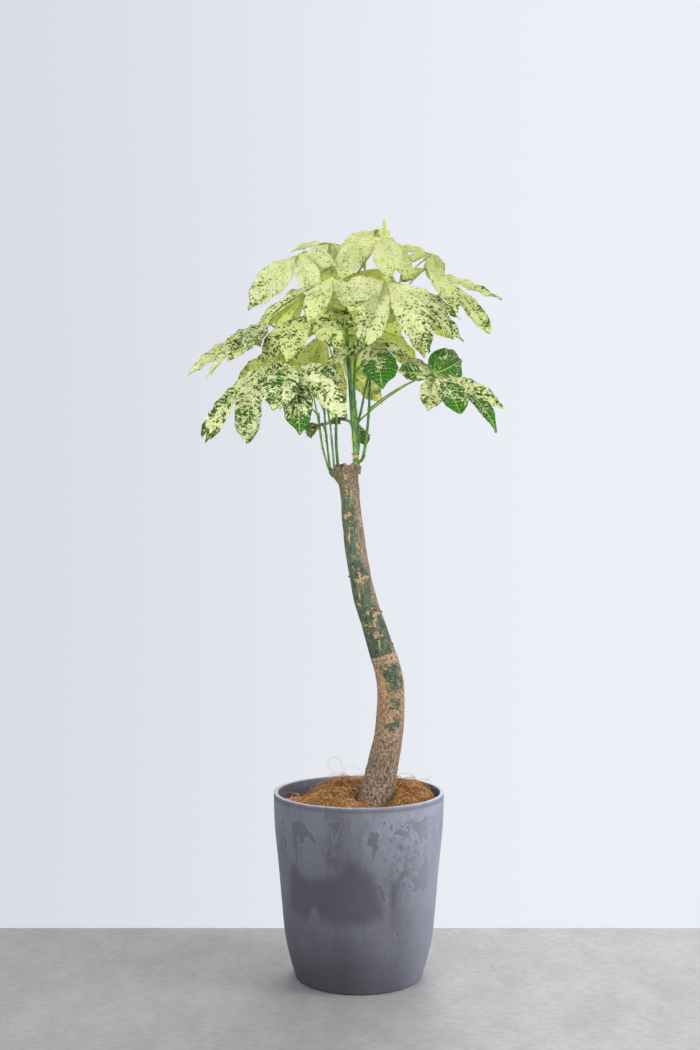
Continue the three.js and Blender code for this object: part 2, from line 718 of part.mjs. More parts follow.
// The blade as a thin closed slab, split alike on both faces; extra thickens and widens it.
function bladeSolid(leaf, leaflet, extra) {
  const point = bladeSurface(leaf, leaflet);
  const rows = leaflet[2] > BLADE.long ? BLADE.longRows : BLADE.shortRows;
  const columns = [-1, 0, 1];
  const spread = (side) => side * (1 + extra / Math.max(leaflet[3], 6));
  const places = [];
  for (const over of [BLADE.thick / 2 + extra, -BLADE.thick / 2 - extra]) {
    for (const t of rows) {
      for (const side of columns) {
        places.push(point(t, spread(side), over));
      }
    }
  }
  const wide = columns.length;
  const layer = rows.length * wide;
  const faces = [];
  const quad = (a, b, c, d) => faces.push(a, c, b, a, d, c);
  for (let row = 0; row + 1 < rows.length; row += 1) {
    for (let column = 0; column + 1 < wide; column += 1) {
      const a = row * wide + column;
      quad(a, a + 1, a + wide + 1, a + wide);
      const b = a + layer;
      faces.push(b, b + 1, b + wide + 1, b, b + wide + 1, b + wide);
    }
    const left = row * wide;
    const right = left + wide - 1;
    quad(left, left + wide, left + wide + layer, left + layer);
    quad(right, right + layer, right + wide + layer, right + wide);
  }
  for (let column = 0; column + 1 < wide; column += 1) {
    const end = layer - wide + column;
    quad(column, column + layer, column + layer + 1, column + 1);
    quad(end, end + 1, end + 1 + layer, end + layer);
  }
  const geometry = new THREE.BufferGeometry();
  geometry.setAttribute('position', new THREE.Float32BufferAttribute(places.flatMap((p) => p.toArray()), 3));
  geometry.setIndex(faces);
  return solidOf(geometry);
}

// Stalks come first, so that each blade can be bent clear of all of them.
const placed = [tracked(trunk, 'trunk'), ...shoots.map((shoot) => tracked(shoot.solid, shoot.node))];
for (const leaf of LEAVES) {
  leaf.stem = joined([stalkSolid(leaf), hubSolid(leaf)]);
  leaf.blades = [];
  placed.push(tracked(leaf.stem, leaf));
}
for (const leaf of LEAVES) {
  const others = placed.filter((piece) => piece.owner !== leaf);
  const middle = solidOf(new THREE.IcosahedronGeometry(HUB_RADIUS * 2, 0).translate(...leaf.hub));
  const siblings = [];
  for (const leaflet of leaf.leaflets) {
    const [turn, droop, ...size] = leaflet;
    const bent = LEAFLET_WAYS.map(([more, lower]) => [turn + more, droop + lower, ...size]);
    const free = bent.find((one) => (
      !meets(bladeSolid(leaf, one, CLEAR), others)
      && !meets(bladeSolid(leaf, one, GAP).subtract(middle), siblings)
    ));
    if (free) {
      const blade = bladeSolid(leaf, free, 0);
      leaf.blades.push(blade);
      placed.push(tracked(blade, leaf));
      siblings.push(tracked(blade.subtract(middle), leaf));
    }
  }
}
LEAVES.forEach((leaf, i) => {
  const shoot = shoots.find(({ node }) => node === BRANCHES[leaf.branch].node);
  const whole = joined([leaf.stem, ...leaf.blades]).subtract(shoot.room);
  place(`leaf_${String(i + 1).padStart(2, '0')}`, largest(whole), LEAF);
});

export default tree;
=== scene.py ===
"""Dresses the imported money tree: variegated leaves, bark, green shoots, coir fibre and a stone-look pot.

Lengths in the tables are millimetres in the row frame; a piece is scaled to metres as it is built.
"""

import math

import bpy
import numpy as np
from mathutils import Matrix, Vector


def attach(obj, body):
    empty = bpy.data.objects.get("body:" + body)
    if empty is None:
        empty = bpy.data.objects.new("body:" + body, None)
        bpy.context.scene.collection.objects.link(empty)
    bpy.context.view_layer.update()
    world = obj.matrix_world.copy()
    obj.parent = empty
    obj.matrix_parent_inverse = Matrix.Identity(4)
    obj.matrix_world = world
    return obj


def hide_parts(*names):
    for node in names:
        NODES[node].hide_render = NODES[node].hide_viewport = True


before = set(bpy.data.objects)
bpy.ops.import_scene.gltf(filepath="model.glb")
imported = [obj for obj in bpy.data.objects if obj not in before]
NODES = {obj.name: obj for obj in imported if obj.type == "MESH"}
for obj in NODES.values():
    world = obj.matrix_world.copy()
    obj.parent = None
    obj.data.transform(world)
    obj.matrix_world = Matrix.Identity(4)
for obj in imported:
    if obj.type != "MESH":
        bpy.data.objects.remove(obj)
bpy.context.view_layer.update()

MM = 0.001
UP = np.array([0.0, 0.0, 1.0])
SIDEWAYS = np.array([1.0, 0.0, 0.0])
radians = math.radians


def add_object(name, data):
    made = bpy.data.objects.new(name, data)
    bpy.context.scene.collection.objects.link(made)
    return made


# ---------------------------------------------------------------- camera

camera = add_object("camera", bpy.data.cameras.new("camera"))
camera.location = (-0.0155, -2.385, 0.7925)
camera.rotation_euler = (radians(90), 0, 0)
camera.data.lens = 46.29
camera.data.clip_end = 100
bpy.context.scene.camera = camera
bpy.context.scene.view_settings.view_transform = "Standard"


# ---------------------------------------------------------------- numbers


def columns(*parts):
    """Arrays, spread to one shape, side by side along a new last axis."""
    return np.stack(np.broadcast_arrays(*parts), axis=-1)


def circle(count):
    """Evenly spaced angles, one turn in all."""
    return np.arange(count) * 2 * np.pi / count


def smoothstep(value, low, high):
    x = np.clip((value - low) / (high - low), 0, 1)
    return x * x * (3 - 2 * x)


def unit(v):
    return v / np.linalg.norm(v, axis=-1, keepdims=True)


def value_noise(places, size, seed):
    """Smooth noise from 0 to 1 at places (N, 3), with lumps of about the size given."""
    grid = places / size
    cell = np.floor(grid).astype(np.int64)
    part = grid - cell
    part = part * part * (3 - 2 * part)
    total = np.zeros(len(places))
    for corner in range(8):
        step = np.array([corner & 1, corner >> 1 & 1, corner >> 2 & 1])
        key = (cell + step).astype(np.uint64)
        code = key[:, 0] * np.uint64(374761393) + key[:, 1] * np.uint64(668265263)
        code = code + key[:, 2] * np.uint64(2246822519) + np.uint64(seed * 3266489917)
        code = (code ^ (code >> np.uint64(13))) * np.uint64(1274126177)
        code = (code ^ (code >> np.uint64(16))) & np.uint64(0xFFFFFF)
        weight = np.prod(np.where(step, part, 1 - part), axis=1)
        total += weight * code.astype(float) / 0xFFFFFF
    return total


def fractal(places, size, seed, octaves=3):
    """Sum of value noises of halving size, about -1 to 1."""
    total = np.zeros(len(places))
    for octave in range(octaves):
        noise = value_noise(places, size / 2**octave, seed + octave)
        total += (noise - 0.5) * 2 / 2**octave
    return total / 1.5


def spline(points, t):
    """Catmull-Rom curve with even steps through points, at t (N,) from 0 to 1."""
    points = np.array(points, float)
    ends = 2 * points[0] - points[1], 2 * points[-1] - points[-2]
    padded = np.vstack([ends[0], points, ends[1]])
    place = np.asarray(t, float) * (len(points) - 1)
    i = np.clip(np.floor(place).astype(int), 0, len(points) - 2)
    w = (place - i)[:, None]
    a, b, c, d = (padded[i + k] for k in range(4))
    near, far = 0.5 * (c - a), 0.5 * (d - b)
    return b + near * w + (-3 * b + 3 * c - 2 * near - far) * w**2 + (2 * b - 2 * c + near + far) * w**3


def line_distance(x, y, start, end):
    """Distance of places from the line between two points."""
    (ax, ay), (bx, by) = start, end
    dx, dy = bx - ax, by - ay
    share = np.clip(((x - ax) * dx + (y - ay) * dy) / (dx * dx + dy * dy + 1e-9), 0, 1)
    return np.hypot(x - ax - share * dx, y - ay - share * dy)


# ---------------------------------------------------------------- shapes


def write(items, name, rows, kind=np.float32):
    items.foreach_set(name, rows.astype(kind).ravel())


def write_values(mesh, name, rows):
    write(mesh.attributes.new(name, "FLOAT_VECTOR", "POINT").data, "vector", rows)


class Shape:
    """Corners in millimetres, faces, and values at the corners, gathered into one piece."""

    def __init__(self, *names):
        self.places, self.faces, self.kinds, self.count = [], [], [], 0
        self.values = {name: [] for name in names}

    def add(self, places, faces, kind=0, **values):
        self.places.append(np.asarray(places, float))
        for some in faces:
            self.faces.append(some + self.count)
            self.kinds.append(np.full(len(some), kind))
        for name, rows in self.values.items():
            rows.append(np.broadcast_to(values.get(name, 0.0), (len(places), 3)))
        self.count += len(places)

    def mesh(self, name):
        mesh = bpy.data.meshes.new(name)
        places = np.concatenate(self.places) * MM
        loops = np.concatenate([some.ravel() for some in self.faces])
        sizes = np.concatenate([np.full(len(some), some.shape[1]) for some in self.faces])
        mesh.vertices.add(len(places))
        mesh.loops.add(len(loops))
        mesh.polygons.add(len(sizes))
        write(mesh.vertices, "co", places)
        write(mesh.loops, "vertex_index", loops, np.int32)
        write(mesh.polygons, "loop_start", np.cumsum(sizes) - sizes, np.int32)
        write(mesh.polygons, "material_index", np.concatenate(self.kinds), np.int32)
        write(mesh.polygons, "use_smooth", np.ones(len(sizes)), bool)
        for name, rows in self.values.items():
            write_values(mesh, name, np.concatenate(rows))
        mesh.update(calc_edges=True)
        mesh.validate()
        return mesh


def place_piece(name, mesh, materials, slot, *nodes):
    piece = add_object(name, mesh)
    for material in materials:
        mesh.materials.append(material)
    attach(piece, "root")
    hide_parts(*nodes)


def grid_faces(rows, sides, around=False):
    """Quads of a grid of corners numbered row by row; around joins the last column to the first."""
    row, column = np.meshgrid(np.arange(rows - 1), np.arange(sides - (not around)), indexing="ij")
    a = (row * sides + column).ravel()
    b = (row * sides + (column + 1) % sides).ravel()
    return columns(a, b, b + sides, a + sides)


def closed(rings, start, end):
    """A skin through rings of corners (rows, sides, 3), closed by a point at each end."""
    rows, sides = rings.shape[:2]
    first = np.arange(sides)
    after = (first + 1) % sides
    last = sides * (rows - 1)
    caps = np.concatenate([
        columns(after, first, rows * sides), columns(last + first, last + after, rows * sides + 1),
    ])
    return np.vstack([rings.reshape(-1, 3), start, end]), [grid_faces(rows, sides, around=True), caps]


def with_ends(marks):
    """Marks for a closed skin's corners, whose end points take those of the nearest corner."""
    return np.vstack([marks, marks[:1], marks[-1:]])


def unit_rings(side, other, sides):
    """A circle of corners round the middle for each pair of directions."""
    turn = circle(sides)[:, None]
    return side[..., None, :] * np.cos(turn) + other[..., None, :] * np.sin(turn)


def tube(points, radii, sides, across=SIDEWAYS):
    """A closed round tube along points; radii is one for each point, or one for each point and side."""
    along = unit(np.gradient(points, axis=0))
    side = unit(across - (along @ across)[:, None] * along)
    radii = radii.reshape(len(points), -1, 1)
    rings = points[:, None] + unit_rings(side, np.cross(along, side), sides) * radii
    return closed(rings, points[0], points[-1])


def peg(start, end, start_radius, end_radius, sides=16, rows=5, power=1.0):
    """A straight tube that tapers."""
    t = np.linspace(0, 1, rows)[:, None]
    points = np.array(start, float) * (1 - t) + np.array(end, float) * t
    radii = start_radius + (end_radius - start_radius) * t**power
    return tube(points, radii, sides, unit(np.array([0.2, 1.0, 0.1])))


# ---------------------------------------------------------------- materials


def colour(red, green, blue):
    """A linear colour from 0 to 255 screen values."""
    screen = np.array([red, green, blue]) / 255
    linear = np.where(screen <= 0.04045, screen / 12.92, ((screen + 0.055) / 1.055) ** 2.4)
    return (*linear.tolist(), 1.0)


class Value:
    """What a node gives out. Sums, differences and products of it are nodes too."""

    def __init__(self, graph, socket):
        self.graph, self.socket = graph, socket

    def __add__(self, other):
        return self.graph.math("ADD", self, other)

    def __radd__(self, other):
        return self.graph.math("ADD", other, self)

    def __sub__(self, other):
        return self.graph.math("SUBTRACT", self, other)

    def __rsub__(self, other):
        return self.graph.math("SUBTRACT", other, self)

    def __mul__(self, other):
        return self.graph.math("MULTIPLY", self, other)


class Graph:
    """The node tree of a material or world. Colours are given as 0 to 255 screen values."""

    def __init__(self, owner):
        owner.use_nodes = True
        self.owner, self.tree = owner, owner.node_tree
        self.tree.nodes.clear()

    def node(self, kind, inputs=(), output=0, **settings):
        made = self.tree.nodes.new("ShaderNode" + kind)
        for key, value in settings.items():
            setattr(made, key, value)
        for key, value in dict(inputs).items():
            if isinstance(value, Value):
                self.tree.links.new(value.socket, made.inputs[key])
            elif value is not None:
                made.inputs[key].default_value = value
        return Value(self, made.outputs[output])

    def values(self, name):
        return self.node("Attribute", output="Vector", attribute_name=name)

    def split(self, vector):
        return [Value(self, socket) for socket in self.node("SeparateXYZ", {0: vector}).socket.node.outputs]

    def join(self, x, y, z):
        return self.node("CombineXYZ", {0: x, 1: y, 2: z})

    def place(self):
        return self.node("TexCoord", output="Object")

    def scaled(self, vector, x, y, z):
        return self.node("VectorMath", {0: vector, 1: (x, y, z)}, operation="MULTIPLY")

    def math(self, operation, a, b=0.0, clamp=False):
        return self.node("Math", {0: a, 1: b}, operation=operation, use_clamp=clamp)

    def step(self, value, low, high, start=0.0, end=1.0):
        inputs = {"Value": value, "From Min": low, "From Max": high, "To Min": start, "To Max": end}
        return self.node("MapRange", inputs, interpolation_type="SMOOTHSTEP")

    def noise(self, vector, scale, detail=2.0, roughness=0.5, distortion=0.0):
        inputs = {"Vector": vector, "Scale": scale, "Detail": detail, "Roughness": roughness}
        return self.node("TexNoise", {**inputs, "Distortion": distortion})

    def cells(self, vector, scale, feature="F1"):
        return self.node("TexVoronoi", {"Vector": vector, "Scale": scale}, "Distance", feature=feature)

    def mix(self, share, a, b, kind="MIX"):
        a, b = (colour(*some) if isinstance(some, tuple) else some for some in (a, b))
        return self.node("Mix", {0: share, 6: a, 7: b}, 2, data_type="RGBA", blend_type=kind)

    def layers(self, base, *rows):
        """A colour under others. Each row is a share, or what step() makes it of, and the colour laid on."""
        for *share, over in rows:
            base = self.mix(share[0] if len(share) == 1 else self.step(*share), base, over)
        return base

    def bump(self, height, distance, strength):
        return self.node("Bump", {"Height": height, "Distance": distance, "Strength": strength})

    def shader(self, base, roughness, specular, normal=None):
        inputs = {"Base Color": base, "Roughness": roughness, "Specular IOR Level": specular}
        return self.node("BsdfPrincipled", {**inputs, "Normal": normal})

    def done(self, shader, kind="OutputMaterial"):
        self.tree.links.new(shader.socket, self.tree.nodes.new("ShaderNode" + kind).inputs[0])
        return self.owner


def new_material(name):
    return Graph(bpy.data.materials.new(name))


# ---------------------------------------------------------------- pot

POT_OUTSIDE = [
    (112.5, 3), (120, 29), (127.5, 60), (132, 90), (136, 134), (141, 192), (148, 262), (150, 321),
]
POT_HEIGHT, POT_WALL, POT_FLOOR, POT_FOOT = 323, 7, 10, 110
RIM_RADIUS, LIP_ROUNDING = 150, 1.4
POT_SIDES = 288
SOIL_TOP = 268
MID_RADIUS = 143  # for turning arcs on the pot into millimetres
BACK_PATCHES = 40

outside_line = spline(POT_OUTSIDE, np.linspace(0, 1, 150))
outside_heights, outside_radii = outside_line[:, 1], outside_line[:, 0]


def pot_radius(height):
    return np.interp(height, outside_heights, outside_radii)


# Bare places in the pale wash: outlines of angle and height. Angles run from 0 at the front to 90 at the
# right.
POT_PATCHES = [
    [(-50, 288), (-45, 293), (-40, 294), (-36, 286), (-35, 281), (-31, 270), (-28, 258), (-32, 262),
     (-36, 271), (-38, 265), (-40, 258), (-43, 252), (-43, 270), (-46, 262), (-46, 240), (-47, 216),
     (-48, 240), (-49, 268)],
    [(-20, 297), (-16, 298), (-12, 299), (-13, 291), (-14, 286), (-15, 276), (-16, 268), (-17, 277),
     (-18, 288)],
    [(6, 281), (10, 283), (14, 281), (12, 273), (11, 264), (12, 256), (10, 247), (9, 235), (8, 246),
     (9, 259), (5, 262), (7, 266), (5, 271), (8, 275)],
    [(21, 277), (26, 285), (30, 280), (33, 276), (34, 269), (30, 273), (25, 276)],
    [(35, 301), (40, 290), (45, 292), (51, 297), (48, 286), (50, 281), (47, 277), (52, 268), (51, 259),
     (47, 263), (43, 265), (42, 272), (39, 278), (37, 288)],
    [(26, 196), (30, 212), (37, 216), (35, 207), (31, 199)],
    [(52, 235), (50, 224), (47, 212), (45, 200), (45, 188), (47, 178), (50, 170), (53, 165), (55, 180),
     (57, 196), (55, 214)],
    [(40, 195), (42, 200), (45, 190), (46, 178), (44, 173), (42, 184)],
    [(13, 192), (15, 194), (17, 180), (18, 167), (17, 162), (15, 175)],
    [(-18, 249), (-16.5, 248), (-17, 241)], [(-39, 232), (-37, 231), (-38, 224)],
    [(14, 233), (16, 233), (15, 228)], [(20, 210), (22.5, 209), (21, 204)],
    [(27, 252), (29, 252), (28.5, 244)], [(39, 248), (41, 247), (40, 240)],
    [(27.5, 110), (30.5, 109), (29, 100)], [(15, 300), (17.5, 299), (16, 294)],
    [(55, 177), (57, 176), (56, 168)], [(62, 264), (66, 262), (65, 246), (63, 240)],
    [(59, 293), (63, 290), (62, 279)], [(-61, 262), (-57, 258), (-58, 238), (-60, 244)],
    [(-64, 291), (-60, 288), (-60, 275), (-63, 280)],
]
# A damp-looking zone with a soft edge, a smaller one beside it, and the pale streak that runs down it.
POT_ZONES = [
    [(-63, 134), (-60, 158), (-57, 186), (-53, 212), (-50, 216), (-46, 200), (-40, 196), (-28, 202),
     (-16, 208), (-9, 219), (-5, 230), (0, 216), (7, 205), (11, 186), (15, 166), (18, 148), (16, 138),
     (6, 130), (-8, 127), (-24, 131), (-40, 126), (-54, 130)],
    [(20, 200), (28, 200), (27, 172), (25, 148), (23, 150)],
]
POT_STREAK = [(-34, 162), (-32, 162), (-31, 140), (-30, 120), (-37, 120), (-36, 140)]


def polygon_depth(arc, height, outline):
    """Millimetres inside an outline of angle and height, below 0 outside it."""
    points = np.array(outline, float) * [np.pi / 180 * MID_RADIUS, 1]
    nearest = np.full(arc.shape, 1e9)
    inside = np.zeros(arc.shape, bool)
    for start, end in zip(points, np.roll(points, -1, axis=0)):
        nearest = np.minimum(nearest, line_distance(arc, height, start, end))
        dx, dy = end - start
        crosses = (start[1] > height) != (end[1] > height)
        inside ^= crosses & (arc < start[0] + (height - start[1]) * dx / (dy if abs(dy) > 1e-9 else 1e-9))
    return np.where(inside, nearest, -nearest)


def pot_patches():
    """The front's patches, and others of the same kind drawn at random round the back."""
    rng = np.random.RandomState(71)
    patches = list(POT_PATCHES)
    for _ in range(BACK_PATCHES):
        angle, height = rng.uniform(74, 286), rng.uniform(150, 300)
        angle = angle if angle < 180 else angle - 360
        wide, tall = rng.uniform(1, 5), rng.uniform(3, 16)
        turn = circle(9)
        reach = rng.uniform(0.4, 1.0, 9)
        patches.append(columns(angle + wide * reach * np.cos(turn), height + tall * reach * np.sin(turn)))
    return patches


def make_pot():
    heights = np.concatenate([[0, 0, 0.4, 1.4], outside_heights])
    radii = np.concatenate([[1, POT_FOOT - 2, POT_FOOT + 0.6, POT_FOOT + 1.9], outside_radii])
    edge = np.radians(np.linspace(0, 90, 6))
    lip = POT_HEIGHT - LIP_ROUNDING
    out, up = LIP_ROUNDING * np.cos(edge), LIP_ROUNDING * np.sin(edge)
    lip_out = columns(RIM_RADIUS - LIP_ROUNDING + out, lip + up)
    lip_in = columns(RIM_RADIUS - POT_WALL + LIP_ROUNDING - up, lip + out)
    down = np.linspace(321, POT_FLOOR + 12, 80)
    inside = columns(pot_radius(down) - POT_WALL, down)
    floor = np.array([[inside[-1, 0] - 4, POT_FLOOR + 4], [inside[-1, 0] - 12, POT_FLOOR], [1, POT_FLOOR]])
    profile = np.vstack([columns(radii, heights), lip_out, lip_in, inside, floor])
    turn = circle(POT_SIDES)
    radius = profile[:, :1]
    rings = columns(radius * np.sin(turn), -radius * np.cos(turn), profile[:, 1:])
    arc = np.tile(np.angle(np.exp(1j * turn)) * MID_RADIUS, len(profile))
    corners = rings.reshape(-1, 3)
    height = corners[:, 2]
    outer = np.repeat(np.arange(len(profile)) < len(heights) + len(edge), POT_SIDES)
    # A cast wall is never quite true: it swells and sinks by a few tenths of a millimetre.
    away = unit(corners * [1, 1, 0] + 1e-9)
    swell = fractal(corners, 60, 5) * 0.25 * smoothstep(height, 3, 30)
    patch, zone = (
        np.max([polygon_depth(arc, height, one) for one in outlines], axis=0)
        for outlines in (pot_patches(), POT_ZONES)
    )
    zone = zone - 26 * smoothstep(polygon_depth(arc, height, POT_STREAK), -8, 4)
    marks = columns(np.maximum(patch, -20), np.maximum(zone, -40), outer)
    rings = (corners + away * swell[:, None]).reshape(rings.shape)
    shape = Shape("pot_marks")
    shape.add(*closed(rings, [0, 0, 0], [0, 0, POT_FLOOR]), pot_marks=np.vstack([marks, np.zeros((2, 3))]))
    return shape.mesh("stone_pot")


def stone_material():
    g = new_material("stone_pot")
    patch, zone, outer = g.split(g.values("pot_marks"))
    place = g.place()
    x, _, height = g.split(place)
    upright = g.scaled(place, 1, 1, 0.3)
    cloud = g.noise(g.scaled(place, 1, 1, 0.55), 16, 4, 0.6, 0.5)
    streak = g.noise(g.scaled(place, 1, 1, 0.16), 80, 3, 0.6)
    fine = g.noise(upright, 190, 4, 0.7)
    grain = g.noise(place, 700, 2, 0.6)
    wash = g.step(cloud + (streak - 0.5) * 0.25, 0.26, 0.62) * g.step(height, 0.09, 0.30, 0.3, 1.0)
    # Bare places with a ragged edge and a thin pale line along it.
    ragged = (g.noise(g.scaled(place, 1, 1, 0.6), 330, 4, 0.8) - 0.41) * 15.0
    ragged = ragged + (g.noise(place, 70, 2, 0.5) - 0.5) * 9.0
    # Crumbs of bare stone, most of them at the right, below the rim.
    crumbly = g.step(x, 0.02, 0.07) * g.step(height, 0.13, 0.19) * g.step(height, 0.315, 0.295)
    crumbs = g.noise(g.scaled(place, 1, 1, 0.7), 118, 4, 0.72) - 0.548 + (crumbly - 1.0) * 0.12
    field = g.math("MAXIMUM", patch + ragged, crumbs * 60.0)
    bare = g.step(field, -0.3, 0.6) * outer
    halo = g.math("MULTIPLY", g.step(field, -2.0, -0.4), outer - bare, clamp=True)
    loose = (g.noise(upright, 24, 5, 0.7) - 0.5) * 44.0
    soft = g.step(zone + loose, -13.0, 10.0) * outer
    # Painted shade: darker towards the foot, most on the left, less on the right.
    foot = g.step(height, 0.13, 0.02, 0, 0.8) * g.step(x, -0.04, 0.10, 1.0, 0.45)
    # Painted shade: a dark band just under the lip.
    shade_under_lip = g.step(height, 0.311, 0.317, 0, 0.6) * g.step(height, 0.3205, 0.3185)
    rim = g.layers((120, 119, 126), (fine, 0.4, 0.6, (150, 153, 164)))
    inside = g.layers(
        (92, 91, 104),
        (g.noise(place, 90, 4, 0.7), 0.5, 0.75, (126, 125, 140)),
        (height, 0.317, 0.3235, (116, 116, 126)),
    )
    base = g.layers(
        (92, 92, 101),
        (g.noise(place, 12, 3, 0.55), 0.35, 0.65, (106, 107, 118)),
        # The pale wash is the pot's own finish; its step from darker at the left to brighter at the right is
        # painted light, as from the right.
        (wash * g.step(x, -0.06, 0.12, 0.55, 1.05), (142, 145, 158)),
        (fine, 0.35, 0.65, 0.22, 0.0, (84, 84, 92)),
        (halo * 0.4, (160, 164, 178)),
        (bare * 0.7, (96, 95, 105)),
        (soft * 0.85, (83, 83, 91)),
        (foot, (80, 80, 88)),
        # Painted reflection: a pale bluish strip down the right edge.
        (g.step(x, 0.06, 0.13, 0, 0.3) * outer, (176, 180, 200)),
        (1.0 - outer, inside),
        (shade_under_lip * outer, (84, 86, 97)),
        (height, 0.3200, 0.3228, 0, 0.6, rim),
        (grain, 0.35, 0.65, 0.14, 0.0, (60, 60, 68)),
    )
    normal = g.bump(grain * 0.14 + bare * -0.5 + fine * 0.4, 0.0007, 0.6)
    roughness = g.step(g.math("MAXIMUM", soft, bare), 0, 1, 0.56, 0.44)
    return g.done(g.shader(base, roughness, 0.45, normal))


place_piece("stone_pot", make_pot(), [stone_material()], "stone_pot", "pot")


# ---------------------------------------------------------------- trunk

TRUNK_LINE = [
    (14, 4, 150), (18, 3, 235), (31, 1, 315), (45.3, 0, 377), (55.2, 0, 448), (54.5, 0, 519),
    (35.2, 0, 589), (11.9, 0, 660), (-2.6, 0, 731), (-11.3, 0, 801), (-18.3, 0, 865), (-27.5, 0, 908),
]
TRUNK_DIAMETER = [
    (150, 40), (200, 62), (262, 76), (288, 70), (315, 61), (342, 57.5), (377, 52.5), (448, 49),
    (536, 47.5), (563, 46), (589, 44), (625, 40.5), (660, 40), (695, 38), (766, 37), (801, 35.5),
    (837, 34), (868, 35), (880, 42), (893, 52), (908, 58),
]
TRUNK_CUT = 896
TRUNK_SIDES, TRUNK_GRAIN = 48, 1.15
BARK_RADIUS = 21  # for turning arcs on the bark into millimetres
TRUNK_PEGS = [  # from, to, and the radius at each
    ((-27, -2, 866), (-44, -3, 890), 8, 9.5), ((-42, 2, 880), (-50, 3, 889), 6.5, 5),
    ((-12, -8, 884), (-5, -11, 899), 8, 6.5), ((-26, 12, 886), (-30, 15, 901), 7, 4),
    ((-38, -10, 886), (-40, -13, 899), 6, 3.5), ((38, -2, 586), (61, -4, 582), 6, 3),
    ((2, -3, 700), (-19.5, -6, 702), 4, 1.8), ((-12, 0, 772), (-27, -2, 773), 3, 1.4),
    ((-44, -8, 884), (-49, -10, 893), 4, 2), ((-33, -14, 884), (-34, -17, 898), 4, 1.6),
    ((-24, -18, 884), (-24, -21, 900), 4.5, 1.8), ((-17, -19, 884), (-15, -21, 897.5), 4, 2.2),
    ((-2, 8, 884), (2, 12, 898), 6, 2.5), ((-12, 18, 884), (-11, 22, 899), 5, 2.2),
    ((-39, 12, 884), (-43, 15, 897), 5, 2), ((45, -14, 470), (44, -25.6, 471), 3, 1.2),
    ((62, 2, 400), (75, 3, 402), 5, 1.6), ((40, -12, 640), (33, -3, 640), 3, 1.4),
]
trunk_points = spline(TRUNK_LINE, np.linspace(0, 1, 700))


def trunk_centre(height):
    return columns(*(np.interp(height, trunk_points[:, 2], trunk_points[:, k]) for k in (0, 1)))


def trunk_radius(height):
    return np.interp(height, *zip(*TRUNK_DIAMETER)) / 2


def trunk_solid():
    """Stem, broken head, stub and knobs, grown into one skin."""
    shape = Shape()
    points = trunk_points[trunk_points[:, 2] <= TRUNK_CUT]
    turn = circle(TRUNK_SIDES)
    height = points[:, 2][:, None]
    foot = smoothstep(-height, -480, -300)
    # Sides run from the front round by the right, as the angles of the marks do.
    wave = np.sin(3 * turn + height / 31) + 0.6 * np.sin(5 * turn - height / 17)
    radii = trunk_radius(points[:, 2])[:, None] + wave * (0.35 + 1.1 * foot)
    shape.add(*tube(points, radii, TRUNK_SIDES, np.array([0.0, -1.0, 0.0])))
    for knob in TRUNK_PEGS:
        shape.add(*peg(*knob))
    rough = add_object("rough_trunk", shape.mesh("rough_trunk"))
    remesh = rough.modifiers.new("one_skin", "REMESH")
    remesh.mode = "VOXEL"
    remesh.voxel_size = TRUNK_GRAIN * MM
    soft = rough.modifiers.new("soft", "SMOOTH")
    soft.factor = 0.5
    soft.iterations = 4
    depsgraph = bpy.context.evaluated_depsgraph_get()
    mesh = bpy.data.meshes.new_from_object(rough.evaluated_get(depsgraph))
    bpy.data.objects.remove(rough)
    return mesh


# Scars in the bark: strokes from one angle and height to another, with half their width.
SCARS = [
    (-6, 881, -7, 874, 2.9), (-44, 810, -44, 806, 4.3), (-44, 807, -3, 812, 2), (54, 808, 54, 796, 2.4),
    (-22, 788, -28, 774, 1.4), (-28, 774, -29, 765, 2.9), (-52, 748, -51, 746, 2),
    (-32, 719, -32, 717, 1.6), (-3, 710, -2, 708, 2.2), (-26, 695, 38, 701, 3.1), (0, 704, -1, 695, 2.4),
    (-12, 692, 4, 690, 2.4), (-22, 674, -26, 664, 2.3), (-46, 654, -36, 652, 3.1), (-5, 640, -5, 636, 2.6),
    (22, 634, 76, 644, 2.4), (24, 630, 22, 625, 2.2), (-63, 618, -30, 615, 1.8), (-30, 615, 4, 617, 1.8),
    (4, 617, 12, 624, 2), (-5, 603, 4, 603, 1.3), (-6, 602, -5, 594, 1.3), (4, 602, 4, 596, 1.3),
    (-4, 588, -2, 574, 1.8), (11, 760, 14, 752, 2.2), (4, 846, 6, 840, 1.8), (-20, 852, -19, 846, 1.6),
    (2, 830, 4, 826, 1.4), (130, 800, 165, 806, 2.9), (150, 730, 152, 716, 2.4),
    (-130, 700, -100, 706, 3.1), (-140, 640, -110, 636, 2.4), (160, 670, 200, 664, 2.9),
    (170, 600, 172, 588, 2.9), (-150, 780, -140, 778, 3.1), (120, 610, 140, 606, 2.4),
]
GREEN_ISLES = [
    (-18, 540, 40, 541, 9), (0, 528, 34, 524, 15), (10, 510, 22, 508, 9), (50, 520, 60, 521, 4),
    (-4, 484, 26, 482, 4.5), (2, 471, 22, 471, 3.4), (-8, 442, 24, 442, 5.5), (18, 449, 32, 447, 4),
    (2, 436, 14, 434, 3), (-160, 520, -120, 500, 10), (150, 480, 170, 470, 7), (110, 530, 140, 524, 8),
]
OCHRE_ISLES = [
    (-44, 536, -42, 526, 3), (-36, 522, -34, 512, 3.4), (-26, 504, -22, 497, 2.6),
    (-16, 543, -10, 541, 2.4), (-14, 451, -10, 449, 3.2), (-18, 487, -14, 485, 2), (-20, 430, -8, 428, 2),
    (-28, 515, -30, 505, 2), (-165, 505, -150, 495, 3), (140, 470, 150, 462, 3),
]
GREEN_EDGE = [  # height, and the angle where the green side gives way to the grey-pink one
    (560, 84), (625, 66), (640, 40), (665, 16), (690, 32), (709, 36), (730, 6), (753, -8), (797, 13),
    (830, 8), (860, -14), (900, -30),
]
RING_BAND = (556.5, 6.5)  # level and half height of the pale ring
SMALL_SCARS = 90


